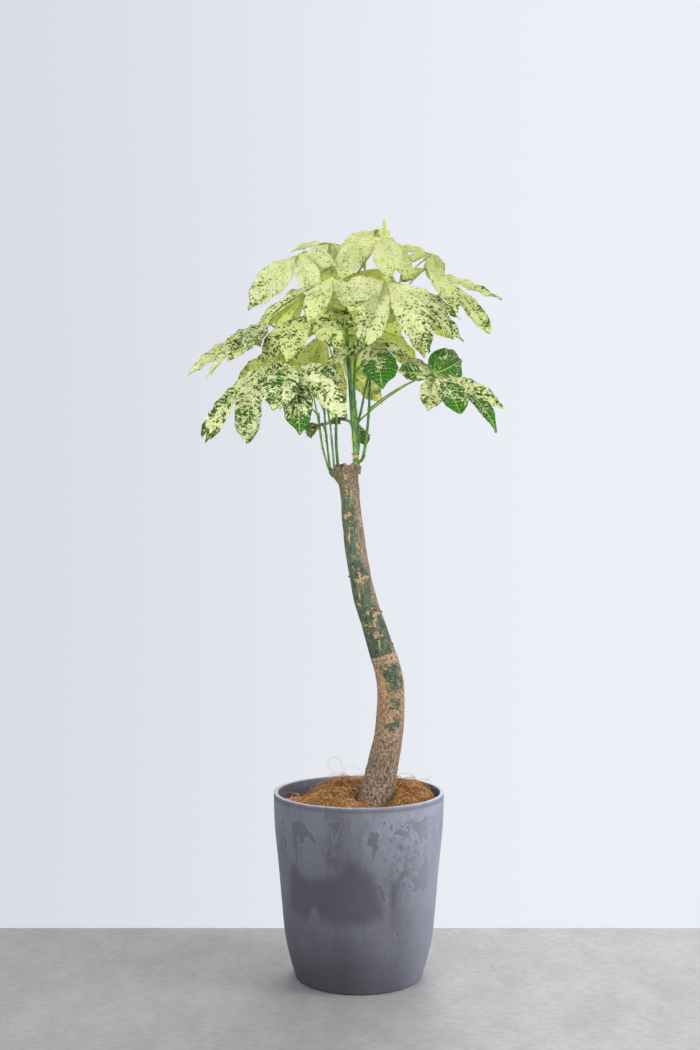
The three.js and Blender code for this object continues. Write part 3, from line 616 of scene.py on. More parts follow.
def small_scars():
    """Short marks all round the green stretch, most of them upright."""
    rng = np.random.RandomState(505)
    scars = []
    for _ in range(SMALL_SCARS):
        angle, height = rng.uniform(-180, 180), rng.uniform(566, 868)
        along, upright = rng.uniform(2, 9), rng.rand() < 0.65
        turned, raised = (rng.uniform(-3, 3), along) if upright else (along * 2.2, rng.uniform(-1, 1))
        scars.append((angle, height, angle + turned, height + raised, rng.uniform(0.7, 1.5)))
    return scars


def stroke_field(arc, height, strokes):
    """1 on a stroke's line, 0.5 at its edge and 0 at twice its half width."""
    field = np.zeros_like(arc)
    for angle_a, height_a, angle_b, height_b, half in strokes:
        start, end = (radians(angle_a) * BARK_RADIUS, height_a), (radians(angle_b) * BARK_RADIUS, height_b)
        field = np.maximum(field, 1 - line_distance(arc, height, start, end) / (2 * half))
    return field


def bark_fields(angle, height):
    """Shares of green, tan, ring and ochre at angles in degrees and heights."""
    places = columns(angle * 0.4, 0, height)
    edge = np.interp(height, *zip(*GREEN_EDGE)) + 16
    green = smoothstep(edge - angle, -26, 26) * smoothstep(angle, -172, -120)
    back = 0.5 + 0.45 * np.sin(height / 23 + np.radians(angle) * 2)
    green = np.maximum(green, back * smoothstep(np.abs(angle), 100, 150))
    green = green * smoothstep(height, 552, 558)
    # No mark is straight: each line is drawn on places shifted a little to and fro.
    arc = np.radians(angle) * BARK_RADIUS + 3.4 * fractal(places, 7, 91, 3)
    near = height + 3.4 * fractal(places, 7, 95, 3)
    isles, tan, ochre = (
        stroke_field(arc, near, strokes) for strokes in (GREEN_ISLES, SCARS + small_scars(), OCHRE_ISLES)
    )
    sway = np.sin(np.radians(angle))
    band = 1 - np.abs(height - (RING_BAND[0] + 5 * sway)) / (2 * (RING_BAND[1] + 2 * sway))
    return np.maximum(green, isles), tan, np.clip(band, 0, 1), ochre


def make_trunk():
    mesh = trunk_solid()
    corners, normals = np.empty((2, len(mesh.vertices) * 3), np.float32)
    mesh.vertices.foreach_get("co", corners)
    mesh.vertices.foreach_get("normal", normals)
    corners = corners.reshape(-1, 3).astype(float) / MM
    normals = normals.reshape(-1, 3).astype(float)
    height = corners[:, 2]
    side = corners[:, :2] - trunk_centre(height)
    angle = np.degrees(np.arctan2(side[:, 0], -side[:, 1]))
    green, tan, band, ochre = bark_fields(angle, height)
    wrinkle = smoothstep(-height, -500, -330)
    net = 1 - np.abs(fractal(corners * [1, 1, 0.7], 7, 13, 2)) * 2.4
    rough = 1 - np.abs(fractal(corners * [1, 1, 0.45], 9, 11, 3)) * 2.2
    rough = rough * (1 - wrinkle) + net * wrinkle
    relief = fractal(corners, 26, 21, 2) * 0.6 + rough * (0.18 + 0.75 * wrinkle)
    relief += fractal(corners, 5, 31, 2) * 0.16
    relief += 0.35 * smoothstep(tan, 0.45, 0.6) + 0.55 * smoothstep(band, 0.45, 0.6)
    head = smoothstep(height, 868, 890)
    facets = fractal(corners * [1, 1, 0.12], 7, 41, 2)
    relief += head * facets * 1.5
    cut = smoothstep(height, 893.5, TRUNK_CUT) * smoothstep(normals[:, 2], 0.3, 0.8)
    lift = cut * fractal(corners, 6, 51, 3) * 2.4
    write(mesh.vertices, "co", (corners + normals * relief[:, None] + UP * lift[:, None]) * MM)
    write_values(mesh, "bark_marks", columns(green, tan, band))
    write_values(mesh, "bark_more", columns(ochre, wrinkle, np.maximum(cut, 0.6 * head * (facets < -0.25))))
    write(mesh.polygons, "use_smooth", np.ones(len(mesh.polygons)), bool)
    mesh.update()
    return mesh


def bark_material():
    g = new_material("bark")
    green, tan, band = g.split(g.values("bark_marks"))
    ochre, wrinkle, cut = g.split(g.values("bark_more"))
    place = g.place()
    height = g.split(place)[2]
    upright = g.scaled(place, 1, 1, 0.6)
    speck = g.noise(upright, 640, 3, 0.7)
    fleck = g.noise(upright, 300, 4, 0.72)
    patch = g.noise(place, 70, 4, 0.65)
    mottle = g.noise(upright, 130, 3, 0.6)
    # Old bark at the foot: warm grey-brown with a fine round net of dark cracks.
    shift = g.join(mottle * 0.004, patch * 0.004, 0.0)
    shifted = g.node("VectorMath", {0: g.scaled(place, 1, 1, 0.62), 1: shift}, operation="ADD")
    cracks = g.step(g.cells(shifted, 270, "DISTANCE_TO_EDGE"), 0.13, 0.0) * g.step(wrinkle, 0, 1, 0.2, 0.85)
    cracks = cracks * g.step(mottle, 0.35, 0.6, 0.35, 1.0)
    old = g.layers(
        g.mix(wrinkle, (94, 76, 58), (90, 81, 69)),
        (fleck, 0.40, 0.60, g.mix(wrinkle, (180, 152, 122), (176, 160, 138))),
        (patch, 0.42, 0.7, 0, 0.6, (150, 112, 78)),
        (cracks, (60, 49, 40)),
        (speck, 0.56, 0.66, 0, 0.6, (84, 72, 60)),
        (speck, 0.42, 0.36, 0, 0.5, (196, 164, 130)),
    )
    # Young bark: dull green on one side, grey-pink and flecked on the other.
    young = g.layers(
        (35, 54, 42),
        (mottle, 0.40, 0.60, (68, 88, 68)),
        (speck, 0.53, 0.60, 0, 0.6, (112, 112, 82)),
        (fleck, 0.56, 0.62, 0, 0.75, (138, 122, 88)),
        (speck, 0.45, 0.38, 0, 0.65, (32, 42, 30)),
    )
    pink = g.layers(
        (78, 74, 58),
        (fleck, 0.40, 0.60, (142, 122, 104)),
        (speck, 0.54, 0.62, 0, 0.75, (54, 52, 42)),
        (speck, 0.42, 0.36, 0, 0.6, (184, 152, 124)),
        (mottle, 0.50, 0.66, 0, 0.7, (88, 96, 74)),
    )
    top = g.layers(
        (72, 66, 48), (fleck, 0.4, 0.62, (112, 100, 76)), (speck, 0.60, 0.68, 0, 0.7, (150, 104, 60))
    )
    share = green + (g.noise(place, 240, 5, 0.8, 0.6) - 0.5) * 3.2 + (patch - 0.5) * 1.0
    ragged = (g.noise(place, 330, 4, 0.8, 0.8) - 0.5) * 3.6
    field = band + ragged * 0.35
    yellow = g.layers((192, 152, 96), (speck, 0.4, 0.6, (152, 122, 84)))
    pale = g.layers((196, 158, 122), (speck, 0.4, 0.6, (150, 120, 94)))
    ring = g.layers(
        (178, 148, 120),
        (fleck, 0.4, 0.60, (128, 102, 80)),
        (speck, 0.56, 0.64, 0, 0.6, (90, 76, 62)),
        (field + (mottle - 0.5) * 1.2, 0.86, 0.98, 0, 0.7, (84, 88, 64)),
    )
    wood = g.layers((62, 40, 30), (fleck, 0.4, 0.62, (112, 80, 58)))
    base = g.layers(
        pink,
        (height, 0.560, 0.552, old),
        (share, 0.44, 0.56, young),
        (height, 0.820, 0.885, 0, 0.8, top),
        (ochre + ragged, 0.50, 0.64, 0, 0.9, yellow),
        (tan + ragged * 0.8, 0.57, 0.74, 0, 0.84, pale),
        (field, 0.42, 0.52, ring),
        (cut * 0.85, wood),
    )
    normal = g.bump(fleck * 0.9 + speck * 0.5 + cracks * -1.2, 0.0014, 0.8)
    return g.done(g.shader(base, 0.72, 0.3, normal))


place_piece("bark_trunk", make_trunk(), [bark_material()], "bark", "trunk")


# ---------------------------------------------------------------- soil and coir

HEAPS = [  # x, y, height, reach
    (-38, 48, 44, 46), (-62, -8, 20, 44), (84, 30, 40, 44), (98, -22, 18, 38), (20, 92, 22, 40),
    (-10, -70, 12, 50), (-118, 62, -12, 34),
]
COIR_LEVEL = 296
FIBRES, FIBRE_STEPS = 7000, 8
BED_SIDES, BED_RINGS = 220, 56
TRUNK_AT = 300  # height at which the bed meets the trunk
INNER_WALL = pot_radius(COIR_LEVEL) - POT_WALL


def heap(x, y, at_x, at_y, height, reach):
    return height * np.exp(-((x - at_x) ** 2 + (y - at_y) ** 2) / reach**2)


def bed_height(x, y):
    tufts = fractal(columns(x, y, 0).reshape(-1, 3), 16, 61, 3).reshape(x.shape)
    edge = smoothstep(np.hypot(x, y), INNER_WALL - 14, INNER_WALL)
    level = COIR_LEVEL + sum(heap(x, y, *one) for one in HEAPS)
    level = level + 1.6 * np.sin(x / 7.3 + 2 * np.sin(y / 11)) + 1.3 * np.sin(y / 6.1 + x / 15)
    hollows = heap(x, y, 18, -48, 6, 40) + heap(x, y, -74, 40, 13, 34)
    return level + 2.6 * tufts - 3.5 * edge - 7 * smoothstep(level, 312, 340) - hollows


def make_bed():
    """The mulch itself: a closed ring between the trunk and the pot's wall."""
    turn = circle(BED_SIDES)
    centre = trunk_centre(TRUNK_AT)
    inner, outer = trunk_radius(TRUNK_AT) - 2, INNER_WALL - 0.6
    share = np.linspace(0, 1, BED_RINGS)[:, None]
    x = (centre[0] + inner * np.cos(turn)) * (1 - share) + outer * np.cos(turn) * share
    y = (centre[1] + inner * np.sin(turn)) * (1 - share) + outer * np.sin(turn) * share
    floor = columns(x[[-1, 0]], y[[-1, 0]], SOIL_TOP + 0.5)
    loop = np.concatenate([columns(x, y, bed_height(x, y)), floor])
    # The last row of faces joins the floor's inner edge to the first row of corners.
    faces = grid_faces(len(loop) + 1, BED_SIDES, around=True) % (len(loop) * BED_SIDES)
    return loop.reshape(-1, 3), [faces]


def fibre_tubes(points, radius):
    """Three-sided tubes along points (N, M, 3), tapered a little to the ends."""
    count, steps = points.shape[:2]
    along = unit(np.gradient(points, axis=1))
    side = unit(np.cross(along, UP + 1e-3))
    taper = 1 - 0.55 * np.abs(np.linspace(-1, 1, steps)) ** 3
    size = radius[:, None, None, None] * taper[None, :, None, None]
    corners = points[:, :, None] + unit_rings(side, np.cross(along, side), 3) * size
    last = 3 * (steps - 1)
    body = grid_faces(steps, 3, around=True)
    caps = np.array([[2, 1, 0], [last, last + 1, last + 2]])
    offset = (np.arange(count) * steps * 3)[:, None, None]
    return corners.reshape(-1, 3), [(part + offset).reshape(-1, part.shape[1]) for part in (body, caps)]


def coir_fibres():
    """Thousands of short fibres lying every way on the bed, some of them standing out of it."""
    rng = np.random.RandomState(4177)
    count, wall = FIBRES, INNER_WALL - 2
    away = wall * np.sqrt(rng.rand(count)) * 0.985
    bearing = rng.rand(count) * 2 * np.pi
    heading = rng.rand(count) * 2 * np.pi
    length = 20 + 46 * rng.rand(count) ** 1.5
    curl = rng.normal(0, 1.1, count)
    t = np.linspace(-0.5, 0.5, FIBRE_STEPS)
    way = heading[:, None] + curl[:, None] * t

    def spread(share):
        """Every fibre's places along one axis, about its own middle."""
        run = np.cumsum(share(way), axis=1) * (length / FIBRE_STEPS)[:, None]
        return (away * share(bearing))[:, None] + run - run.mean(axis=1, keepdims=True)

    px, py = spread(np.cos), spread(np.sin)
    limit = np.minimum(1, wall / np.maximum(np.hypot(px, py), 1e-6))
    px, py = px * limit, py * limit
    rise = np.abs(rng.normal(0, 2.8, count)) + 0.2
    standing = rng.rand(count) < 0.08
    rise = np.where(standing, rise + rng.uniform(3, 11, count), rise)
    arch = np.sin(np.pi * (t + 0.5))
    lean = rng.normal(0, 1.4, count)[:, None] * t * 2
    pz = bed_height(px, py) + rise[:, None] * (0.25 + 0.75 * arch) + lean * (1 + 2 * standing[:, None])
    pz += 0.5 * np.sin(7 * t + heading[:, None] * 3)
    centre = trunk_centre(TRUNK_AT + 5)
    clear = np.hypot(px - centre[0], py - centre[1]).min(axis=1) > trunk_radius(TRUNK_AT + 5) - 3
    coarse = rng.rand(count) < 0.16
    radius = np.where(coarse, rng.uniform(0.45, 0.8, count), rng.uniform(0.2, 0.42, count))
    tone = columns(rng.rand(count), rng.rand(count), 0)[clear]
    corners, faces = fibre_tubes(columns(px, py, pz)[clear], radius[clear])
    return corners, faces, np.repeat(tone, FIBRE_STEPS * 3, axis=0)


# Long loose hairs: points that they pass, and radius.
LOOSE_HAIRS = [
    ([(-32, 30, 338), (-44, 24, 352), (-55, 20, 366), (-50, 18, 377), (-38, 16, 379), (-31, 18, 370),
      (-28, 22, 352), (-18, 26, 345), (-8, 30, 341)], 0.22),
    ([(-60, 40, 336), (-50, 34, 345), (-36, 30, 341), (-22, 28, 346), (-6, 26, 342)], 0.2),
    ([(-20, 36, 338), (-34, 30, 350), (-46, 26, 349), (-58, 24, 341)], 0.2),
    ([(104, 40, 322), (116, 34, 331), (124, 28, 339), (130, 24, 347)], 0.3),
    ([(96, 46, 326), (108, 50, 333), (118, 52, 335), (128, 50, 331)], 0.3),
    ([(60, 40, 333), (74, 36, 346), (90, 30, 347), (104, 26, 338)], 0.26),
    ([(118, 10, 318), (127, 4, 327), (133, -4, 330)], 0.28),
    ([(-96, -10, 306), (-110, -6, 318), (-124, -2, 321), (-134, 2, 316)], 0.26),
    ([(-30, 70, 336), (-22, 78, 350), (-10, 84, 352), (2, 88, 344)], 0.24),
]


def make_coir():
    shape = Shape("fibre_tone")
    shape.add(*make_bed(), kind=1)
    corners, faces, tone = coir_fibres()
    shape.add(corners, faces, fibre_tone=tone)
    for points, radius in LOOSE_HAIRS:
        line = spline(points, np.linspace(0, 1, 6 * len(points)))
        hair = tube(line, np.full(len(line), radius), 6, unit(np.array([0.3, 1.0, 0.2])))
        shape.add(*hair, fibre_tone=(0.55, 0.5, 1))
    return shape.mesh("coir")


def fibre_material():
    g = new_material("coir_fibre")
    tone, kind, _ = g.split(g.values("fibre_tone"))
    place = g.place()
    streak = g.noise(place, 900, 2, 0.6)
    base = g.layers(
        (98, 58, 26),
        (tone, 0.0, 0.45, (184, 126, 68)),
        (tone, 0.45, 1.0, (228, 174, 104)),
        (kind, 0.84, 0.88, 0, 0.75, (76, 46, 28)),
        (kind, 0.10, 0.06, 0, 0.7, (236, 200, 148)),
        (g.noise(place, 55, 4, 0.65), 0.42, 0.64, 0, 0.6, (120, 72, 36)),
        (streak, 0.45, 0.7, 0, 0.35, (230, 188, 136)),
    )
    return g.done(g.shader(base, 0.72, 0.25, g.bump(streak, 0.0003, 0.5)))


def bed_material():
    g = new_material("coir_bed")
    place = g.place()
    strands = g.noise(g.scaled(place, 1, 0.35, 1), 420, 4, 0.7, 1.5)
    crossing = g.noise(g.scaled(place, 0.35, 1, 1), 420, 4, 0.7, 1.5)
    both = g.math("MAXIMUM", strands, crossing)
    base = g.layers((66, 40, 24), (both, 0.45, 0.66, (140, 92, 54)))
    return g.done(g.shader(base, 0.9, 0.1, g.bump(both, 0.002, 1.0)))


def soil_material():
    g = new_material("potting_soil")
    place = g.place()
    grit = g.noise(place, 500, 4, 0.7)
    base = g.layers((36, 26, 20), (grit, 0.35, 0.65, (74, 54, 40)), (grit, 0.68, 0.74, (176, 168, 150)))
    return g.done(g.shader(base, 0.95, 0.1, g.bump(grit - g.cells(place, 260), 0.002, 1.0)))


place_piece("coir_mulch_fibres", make_coir(), [fibre_material(), bed_material()], "coir", "coir_mulch")
NODES["soil"].data.materials.clear()
NODES["soil"].data.materials.append(soil_material())


# ---------------------------------------------------------------- shoots

# Each branch: its node, the diameters at its foot and top, and its centreline.
BRANCHES = {
    "s1": ("shoot_1", 4.2, 3, [(-45, -3, 877), (-54, -5, 895), (-64, -8, 931), (-69, -10, 968),
        (-71, -10, 990)]),
    "s2": ("shoot_2", 4.4, 3, [(-44, 4, 878), (-52, 8, 901), (-58, 13, 955), (-60, 14, 978),
        (-61, 14, 1002)]),
    "s3": ("shoot_3", 4.2, 3, [(-42, -6, 886), (-44, -8, 900), (-50, -12, 967), (-53, -12, 985),
        (-65, -10, 1050)]),
    "s4": ("shoot_4", 5.8, 3.6, [(-35, 2, 886), (-37, 2, 900), (-40, 2, 937), (-40, 1, 987), (-43, 0, 1030),
        (-42.5, 0, 1075), (-45.5, 0, 1158)]),
    "s5": ("shoot_fork", 11, 4.6, [(-5, 0, 885), (-5, -1, 900), (-5.6, -3, 925), (-9.3, -5, 968),
        (-11.8, -6, 993), (-15.5, -6, 1049), (-18.7, -6, 1091), (-21, -5, 1125), (-22, -2, 1165),
        (-16, 2, 1225)]),
    "s6": ("shoot_fork", 6.4, 3.8, [(-5, 1, 912), (-0.7, 7, 930), (-1.5, 12, 962), (-5, 18, 993),
        (-8, 24, 1029), (-6, 33, 1085), (4, 42, 1150)]),
    "s7": ("shoot_fork", 4.8, 3.4, [(-2.5, 12, 972), (3, 10, 990), (14.2, 8, 1045), (27, 6, 1100),
        (38, 4, 1155)]),
    "s8": ("shoot_fork", 6, 3.8, [(-3, 2, 902), (7, 7, 911), (12.8, 12, 943), (18, 14, 993),
        (19.8, 14, 1040), (20.5, 10, 1078)]),
}
BUDS = {
    "shoot_fork": [
        ((-6, -2, 913), (-13, -5, 920), 2.2, 0.9), ((-6, -3, 922), (-11.5, -7, 931), 1.8, 0.7),
        ((8, 7, 912), (13, 5, 916), 1.8, 0.8), ((-8, -6, 938), (-13, -9, 943), 2, 0.6),
        ((-7, -4, 905), (-11, -8, 907), 2.2, 1.1), ((-1, -5, 917), (1, -10, 921), 2, 0.8),
    ],
    "shoot_1": [((-62, -8, 925), (-66, -10, 928), 1.6, 0.8)],
    "shoot_2": [((-57, 12, 940), (-60, 11, 943), 1.6, 0.8)],
    "shoot_4": [((-40, 1, 960), (-43.5, -1, 963), 1.8, 0.8)],
}
# Rings left by shed leaves on the fork's stub: height and half height.
STUB_RINGS = [(900, 2.4), (913.5, 2.2)]
STEM_SIDES, BUD_SIDES, BUD_ROWS = 20, 12, 6
JOINT_SPACING = 34


def peaks(values, middles, half, power=2):
    """Smooth peaks of height 1, added up: one at each middle."""
    return sum((np.exp(-(((values - middle) / half) ** power)) for middle in middles), 0 * values)


def make_shoot(node, leaf_heights):
    """All the branches of one shoot, thickened at their joints."""
    shape = Shape("stem_marks")
    turn = circle(STEM_SIDES)
    for name, (owner, foot, top, line) in BRANCHES.items():
        if owner != node:
            continue
        rows = len(line) * 22
        share = np.linspace(0, 1, rows)
        points = spline(line, share)
        height = points[:, 2]
        spots = np.arange(height[0] + 22, height[-1], JOINT_SPACING)
        spots = spots + 5 * np.sin(np.arange(len(spots)) * 2.3)
        joints = 0.75 * peaks(height, leaf_heights.get(name, []), 3.5) + 0.3 * peaks(height, spots, 1.6)
        rings = STUB_RINGS if name == "s5" else []
        scar = sum((peaks(height, [level], half, 4) for level, half in rings), 0 * height)
        places = columns(height[:, None], 9 * np.cos(turn), 9 * np.sin(turn)).reshape(-1, 3)
        uneven = fractal(places, 9, 77, 2).reshape(rows, STEM_SIDES) * 0.14
        radii = ((foot + (top - foot) * share) / 2 + joints + 0.9 * scar)[:, None] + uneven
        marks = np.repeat(columns(scar, np.minimum(joints, 1), share), STEM_SIDES, axis=0)
        shape.add(*tube(points, radii, STEM_SIDES), stem_marks=with_ends(marks))
    for bud in BUDS.get(node, []):
        tips = np.repeat(np.linspace(0, 1, BUD_ROWS) > 0.7, BUD_SIDES) * 0.8
        shape.add(*peg(*bud, BUD_SIDES, BUD_ROWS, 1.5), stem_marks=with_ends(columns(tips, 0, 0.1)))
    return shape.mesh(node + "_stem")


def stem_material():
    g = new_material("green_stem")
    scar, joint, along = g.split(g.values("stem_marks"))
    place = g.place()
    streaks = g.noise(g.scaled(place, 1, 1, 0.12), 520, 3, 0.6)
    spots = g.noise(g.scaled(place, 1, 1, 0.5), 300, 3, 0.65)
    base = g.layers(
        (26, 68, 8),
        (streaks, 0.38, 0.62, (86, 132, 48)),
        (spots, 0.56, 0.68, 0, 0.6, (146, 180, 76)),
        (along, 0.45, 1.0, 0, 0.35, (64, 106, 22)),
        (joint * 0.3, (120, 150, 72)),
        (scar, 0.3, 0.7, g.layers((206, 152, 104), (spots, 0.42, 0.6, (150, 112, 74)))),
    )
    return g.done(g.shader(base, 0.45, 0.35, g.bump(streaks + spots, 0.0005, 0.5)))


# ---------------------------------------------------------------- leaves


def wheel(size, spread):
    """Five leaflets spread evenly, for a leaf that the photo doesn't show."""
    rows = (0, 24, 148, 24), (1, 26, 136, 22), (-1, 22, 136, 22), (2, 22, 108, 18), (-2, 26, 108, 18)
    return [(spread * turns, droop, length * size, half * size) for turns, droop, length, half in rows]


# Each leaf: branch, height on it, hub, facing, tilt, roll, leaflets, and its look: green share at the
# leaflets' base and tip, size of the flecks, warmth and lightness. A leaflet is its turn, droop, length
# and half width, and, on a few, forms and green shares of its own. The back leaves (17 to 26) have their
# lightness raised above 1 as painted light, standing in for light shining through them.
LEAVES = [
    ("s5", 1165, (33, 0, 1315), -60, 20, 50,
     [(4, 32, 129, 25), (-48, 20, 91, 19), (58, 52, 95, 19), (-105, 20, 103, 18), (90, 44, 33, 8)],
     (0.1, 0.16, 0.55, 0.45, 0.95)),
    ("s5", 1215, (49, -40, 1292), 10, 30, 40,
     [(-9, 21, 120, 24), (-66, 28, 60, 14), (42, 50, 79, 16), (114, 46, 27, 6),
      (-150, -72, 30, 2.6, {"bend": -30})],
     (0.08, 0.18, 0.55, 0.5, 0.95)),
    ("s4", 1148, (-48, 40, 1298), 180, 10, 40,
     [(10, 12, 103, 20), (-42, 16, 95, 18), (-100, 60, 60, 13), (82, 10, 74, 16), (130, 38, 94, 18),
      (-152, 55, 104, 19)],
     (0.1, 0.14, 0.55, 0.55, 0.96)),
    ("s6", 1140, (135, 90, 1289), 0, 5, 35,
     [(-93, -7, 63, 12), (-53, 18, 72, 12), (-3, 32, 70, 15), (14, 44, 46, 11), (172, 30, 99, 19)],
     (0.08, 0.12, 0.5, 0.75, 1.0)),
    ("s4", 1120, (-105, -20, 1266), -60, 25, 68,
     [(-5, 23, 137, 27, {"roll": 56, "bend": 2, "swell": 0.72, "green": (0.1, 0.34)}), (62, 44, 107, 20),
      (-62, 26, 99, 19), (-118, 12, 87, 17), (118, 34, 72, 15)],
     (0.12, 0.2, 0.5, 0.35, 0.92)),
    ("s7", 1148, (118, -10, 1244), 70, 20, 52,
     [(28, 2, 145, 15, {"roll": 30, "bend": -10}),
      (-3, 26, 168, 17, {"cut": 0.9, "swell": 1.3, "roll": 44, "bend": 16}), (-33, 27, 136, 19),
      (-145, 48, 53, 11), (70, 16, 117, 19)],
     (0.08, 0.36, 0.6, 0.6, 0.97)),
    ("s5", 1085, (43, -110, 1204), 30, 25, 48,
     [(20, 35, 151, 27), (56, 25, 167, 16, {"bend": 18}), (82, 17, 163, 12, {"bend": 14}),
      (-68, 18, 105, 22, {"green": (0.1, 0.18)}), (-26, 36, 139, 25, {"green": (0.06, 0.34)}),
      (135, 15, 103, 17)],
     (0.12, 0.42, 0.62, 0.4, 0.94)),
    ("s4", 1100, (-46, -100, 1209), -20, 20, 45,
     [(-56, 23, 149, 15, {"roll": 8, "bend": 22, "green": (0.3, 0.44), "side": 0.5}), (-6, 27, 115, 20),
      (42, 30, 111, 19), (168, 17, 89, 17)],
     (0.14, 0.26, 0.6, 0.5, 1.0)),
    ("s3", 1040, (-158, -40, 1145), -90, 20, 62,
     [(12, 16, 171, 19, {"roll": 34, "bend": 10}), (-24, 17, 156, 13, {"cut": 0.9, "roll": 40, "bend": 14}),
      (46, 24, 132, 23, {"bend": 14, "green": (0.26, 0.36)}), (67, 33, 131, 20, {"green": (0.28, 0.38)}),
      (-73, 12, 102, 18)],
     (0.16, 0.22, 0.6, 0.4, 0.96)),
    ("s4", 1030, (-88, -116, 1146), -15, 22, 45,
     [(-8, 30, 111, 21), (44, 28, 103, 19), (-60, 24, 109, 19), (98, 18, 87, 17)],
     (0.3, 0.4, 0.65, 0.7, 0.98)),
    ("s8", 1066, (24, -50, 1104), 10, 25, 30,
     [(0, 20, 119, 30, {"green": (0.44, 1.02)}), (-92, 28, 91, 11, {"green": (0.3, 0.4)}), (92, 18, 70, 12),
      (-150, 24, 79, 14), (150, 22, 79, 14)],
     (0.3, 0.4, 0.72, 0.3, 1.0)),
    ("s8", 998, (130, -60, 1053), 60, 20, 50,
     [(-119, 10, 73, 19, {"bend": -8, "green": (0.62, 0.5)}),
      (42, 9, 138, 19, {"bend": 4, "green": (0.25, 0.32)}),
      (10, 25, 154, 13, {"bend": 56, "green": (0.2, 0.95)}),
      (-25, 31, 109, 23, {"cut": 0.93, "green": (0.4, 0.86)}), (-53, 48, 77, 20, {"green": (0.25, 0.34)}),
      (157, -2, 102, 9), (79, -31, 68, 36, {"roll": 110, "bend": -10, "swell": 0.58, "green": (0.9, 0.84)})],
     (0.22, 0.3, 0.74, 0.35, 1.0)),
    ("s1", 984, (-172, -80, 1064), -50, 25, 50,
     [(-22, 33, 158, 17, {"cut": 0.8, "roll": 46, "bend": 16, "notch": 1}), (20, 44, 149, 22, {"cut": 0.93}),
      (-76, 40, 99, 16), (66, 30, 99, 18)],
     (0.28, 0.46, 0.74, 0.25, 1.0)),
    ("s2", 994, (-110, -120, 1057), 0, 20, 45,
     [(-19, 27, 110, 28, {"green": (0.34, 0.62)}), (8, 42, 128, 24, {"green": (0.28, 0.74)}),
      (60, 36, 127, 21), (106, 22, 91, 17), (-125, 16, 78, 15)],
     (0.28, 0.44, 0.78, 0.2, 1.0)),
    ("s5", 945, (-17, 40, 979), 80, 15, 40,
     [(-2, 43, 55, 14), (65, 15, 72, 14), (140, 10, 56, 12)],
     (0.62, 0.72, 0.8, 0.3, 0.92)),
    ("s2", 950, (-66, 60, 975), -95, 10, 40,
     [(-3, 17, 33, 13), (60, 10, 68, 14), (-60, 15, 62, 14), (130, 10, 56, 12)],
     (0.58, 0.66, 0.8, 0.3, 0.92)),
    ("s4", 1060, (-60, 95, 1144), -150, 20, -20,
     [(0, 50, 121, 23), (-50, 46, 119, 22), (54, 36, 111, 20), (-104, 12, 103, 19), (108, 20, 91, 17)],
     (0.2, 0.3, 0.7, 0.9, 1.28)),
    ("s6", 1080, (36, 118, 1157), 160, 20, -20,
     [(-40, 34, 115, 20), (28, 50, 115, 21), (78, 42, 82, 17), (-124, 12, 79, 16)],
     (0.16, 0.26, 0.7, 1.0, 1.26)),
    ("s6", 1120, (-12, 140, 1262), 175, 22, -35, wheel(0.95, 50), (0.12, 0.2, 0.6, 0.8, 1.1)),
    ("s4", 1080, (-98, 108, 1216), -140, 22, -25, wheel(0.82, 52), (0.16, 0.26, 0.6, 0.7, 1.22)),
    ("s6", 1050, (88, 160, 1208), 150, 25, -35, wheel(0.82, 50), (0.16, 0.3, 0.65, 0.7, 1.22)),
    ("s3", 1010, (-140, 92, 1112), -130, 22, -25, wheel(0.8, 52), (0.24, 0.36, 0.75, 0.6, 1.25)),
    ("s8", 1030, (40, 215, 1162), 165, 24, -35, wheel(0.56, 50), (0.22, 0.4, 0.8, 0.5, 1.2)),
    ("s6", 1010, (-34, 196, 1100), 190, 25, -35, wheel(0.9, 52), (0.24, 0.4, 0.85, 0.6, 1.26)),
    ("s1", 950, (-95, 112, 1074), -140, 22, -30, wheel(0.6, 52), (0.28, 0.42, 0.85, 0.5, 1.24)),
    ("s7", 975, (140, 56, 1070), 110, 22, -30, wheel(0.45, 52), (0.2, 0.36, 0.8, 0.5, 1.2)),
]
# The steps of turn and droop that a leaflet may have been bent by to keep clear of its neighbours.
BENT_BY = [
    (0, 0), (0, 5), (0, -5), (6, 0), (-6, 0), (0, 10), (0, -10), (7, 7), (-7, 7), (7, -7), (-7, -7),
    (12, 0), (-12, 0), (0, 16), (0, -16), (12, 12), (-12, 12), (12, -12), (-12, -12), (20, 0), (-20, 0),
    (0, 24), (0, -24), (20, 14), (-20, 14), (20, -14), (-20, -14), (0, 34), (0, -34), (28, 20), (-28, 20),
]
FOUND_WITHIN = 0.2  # millimetres between a leaflet's reckoned tip and the solid's own corner
CAD_HALF_THICKNESS, HALF_THICKNESS = 0.4, 0.26
LEAFLET_FOLD, LEAFLET_FOOT = 13, 2.4  # degrees along the rib; millimetres from the hub's middle
FOOT_HALF_WIDTH, TIP_HALF_WIDTH = 1.3, 0.6
HUB_SIZE, HUB_FLATTENED = 4.0, 0.75
VEIN_SPACING = 8.5
UNDERSIDE = np.array([0, 0, 10])  # added to a leaf's tone on its underside
ACROSS = np.array([-1, -0.88, -0.7, -0.48, -0.27, -0.09, 0, 0.09, 0.27, 0.48, 0.7, 0.88, 1])


def outline(s):
    return np.clip(s, 0, 1) ** 1.1 * np.clip(1 - s, 0, 1) ** 0.8 / 0.2744


def leaf_axes(facing, tilt):
    """Directions of a leaf: out of its hub, forward in its plane, and to the right."""
    facing, tilt = radians(facing), radians(tilt)
    ahead = np.array([math.sin(facing), -math.cos(facing), 0])
    right = np.array([math.cos(facing), math.sin(facing), 0])
    return ahead * math.sin(tilt) + UP * math.cos(tilt), ahead * math.cos(tilt) - UP * math.sin(tilt), right


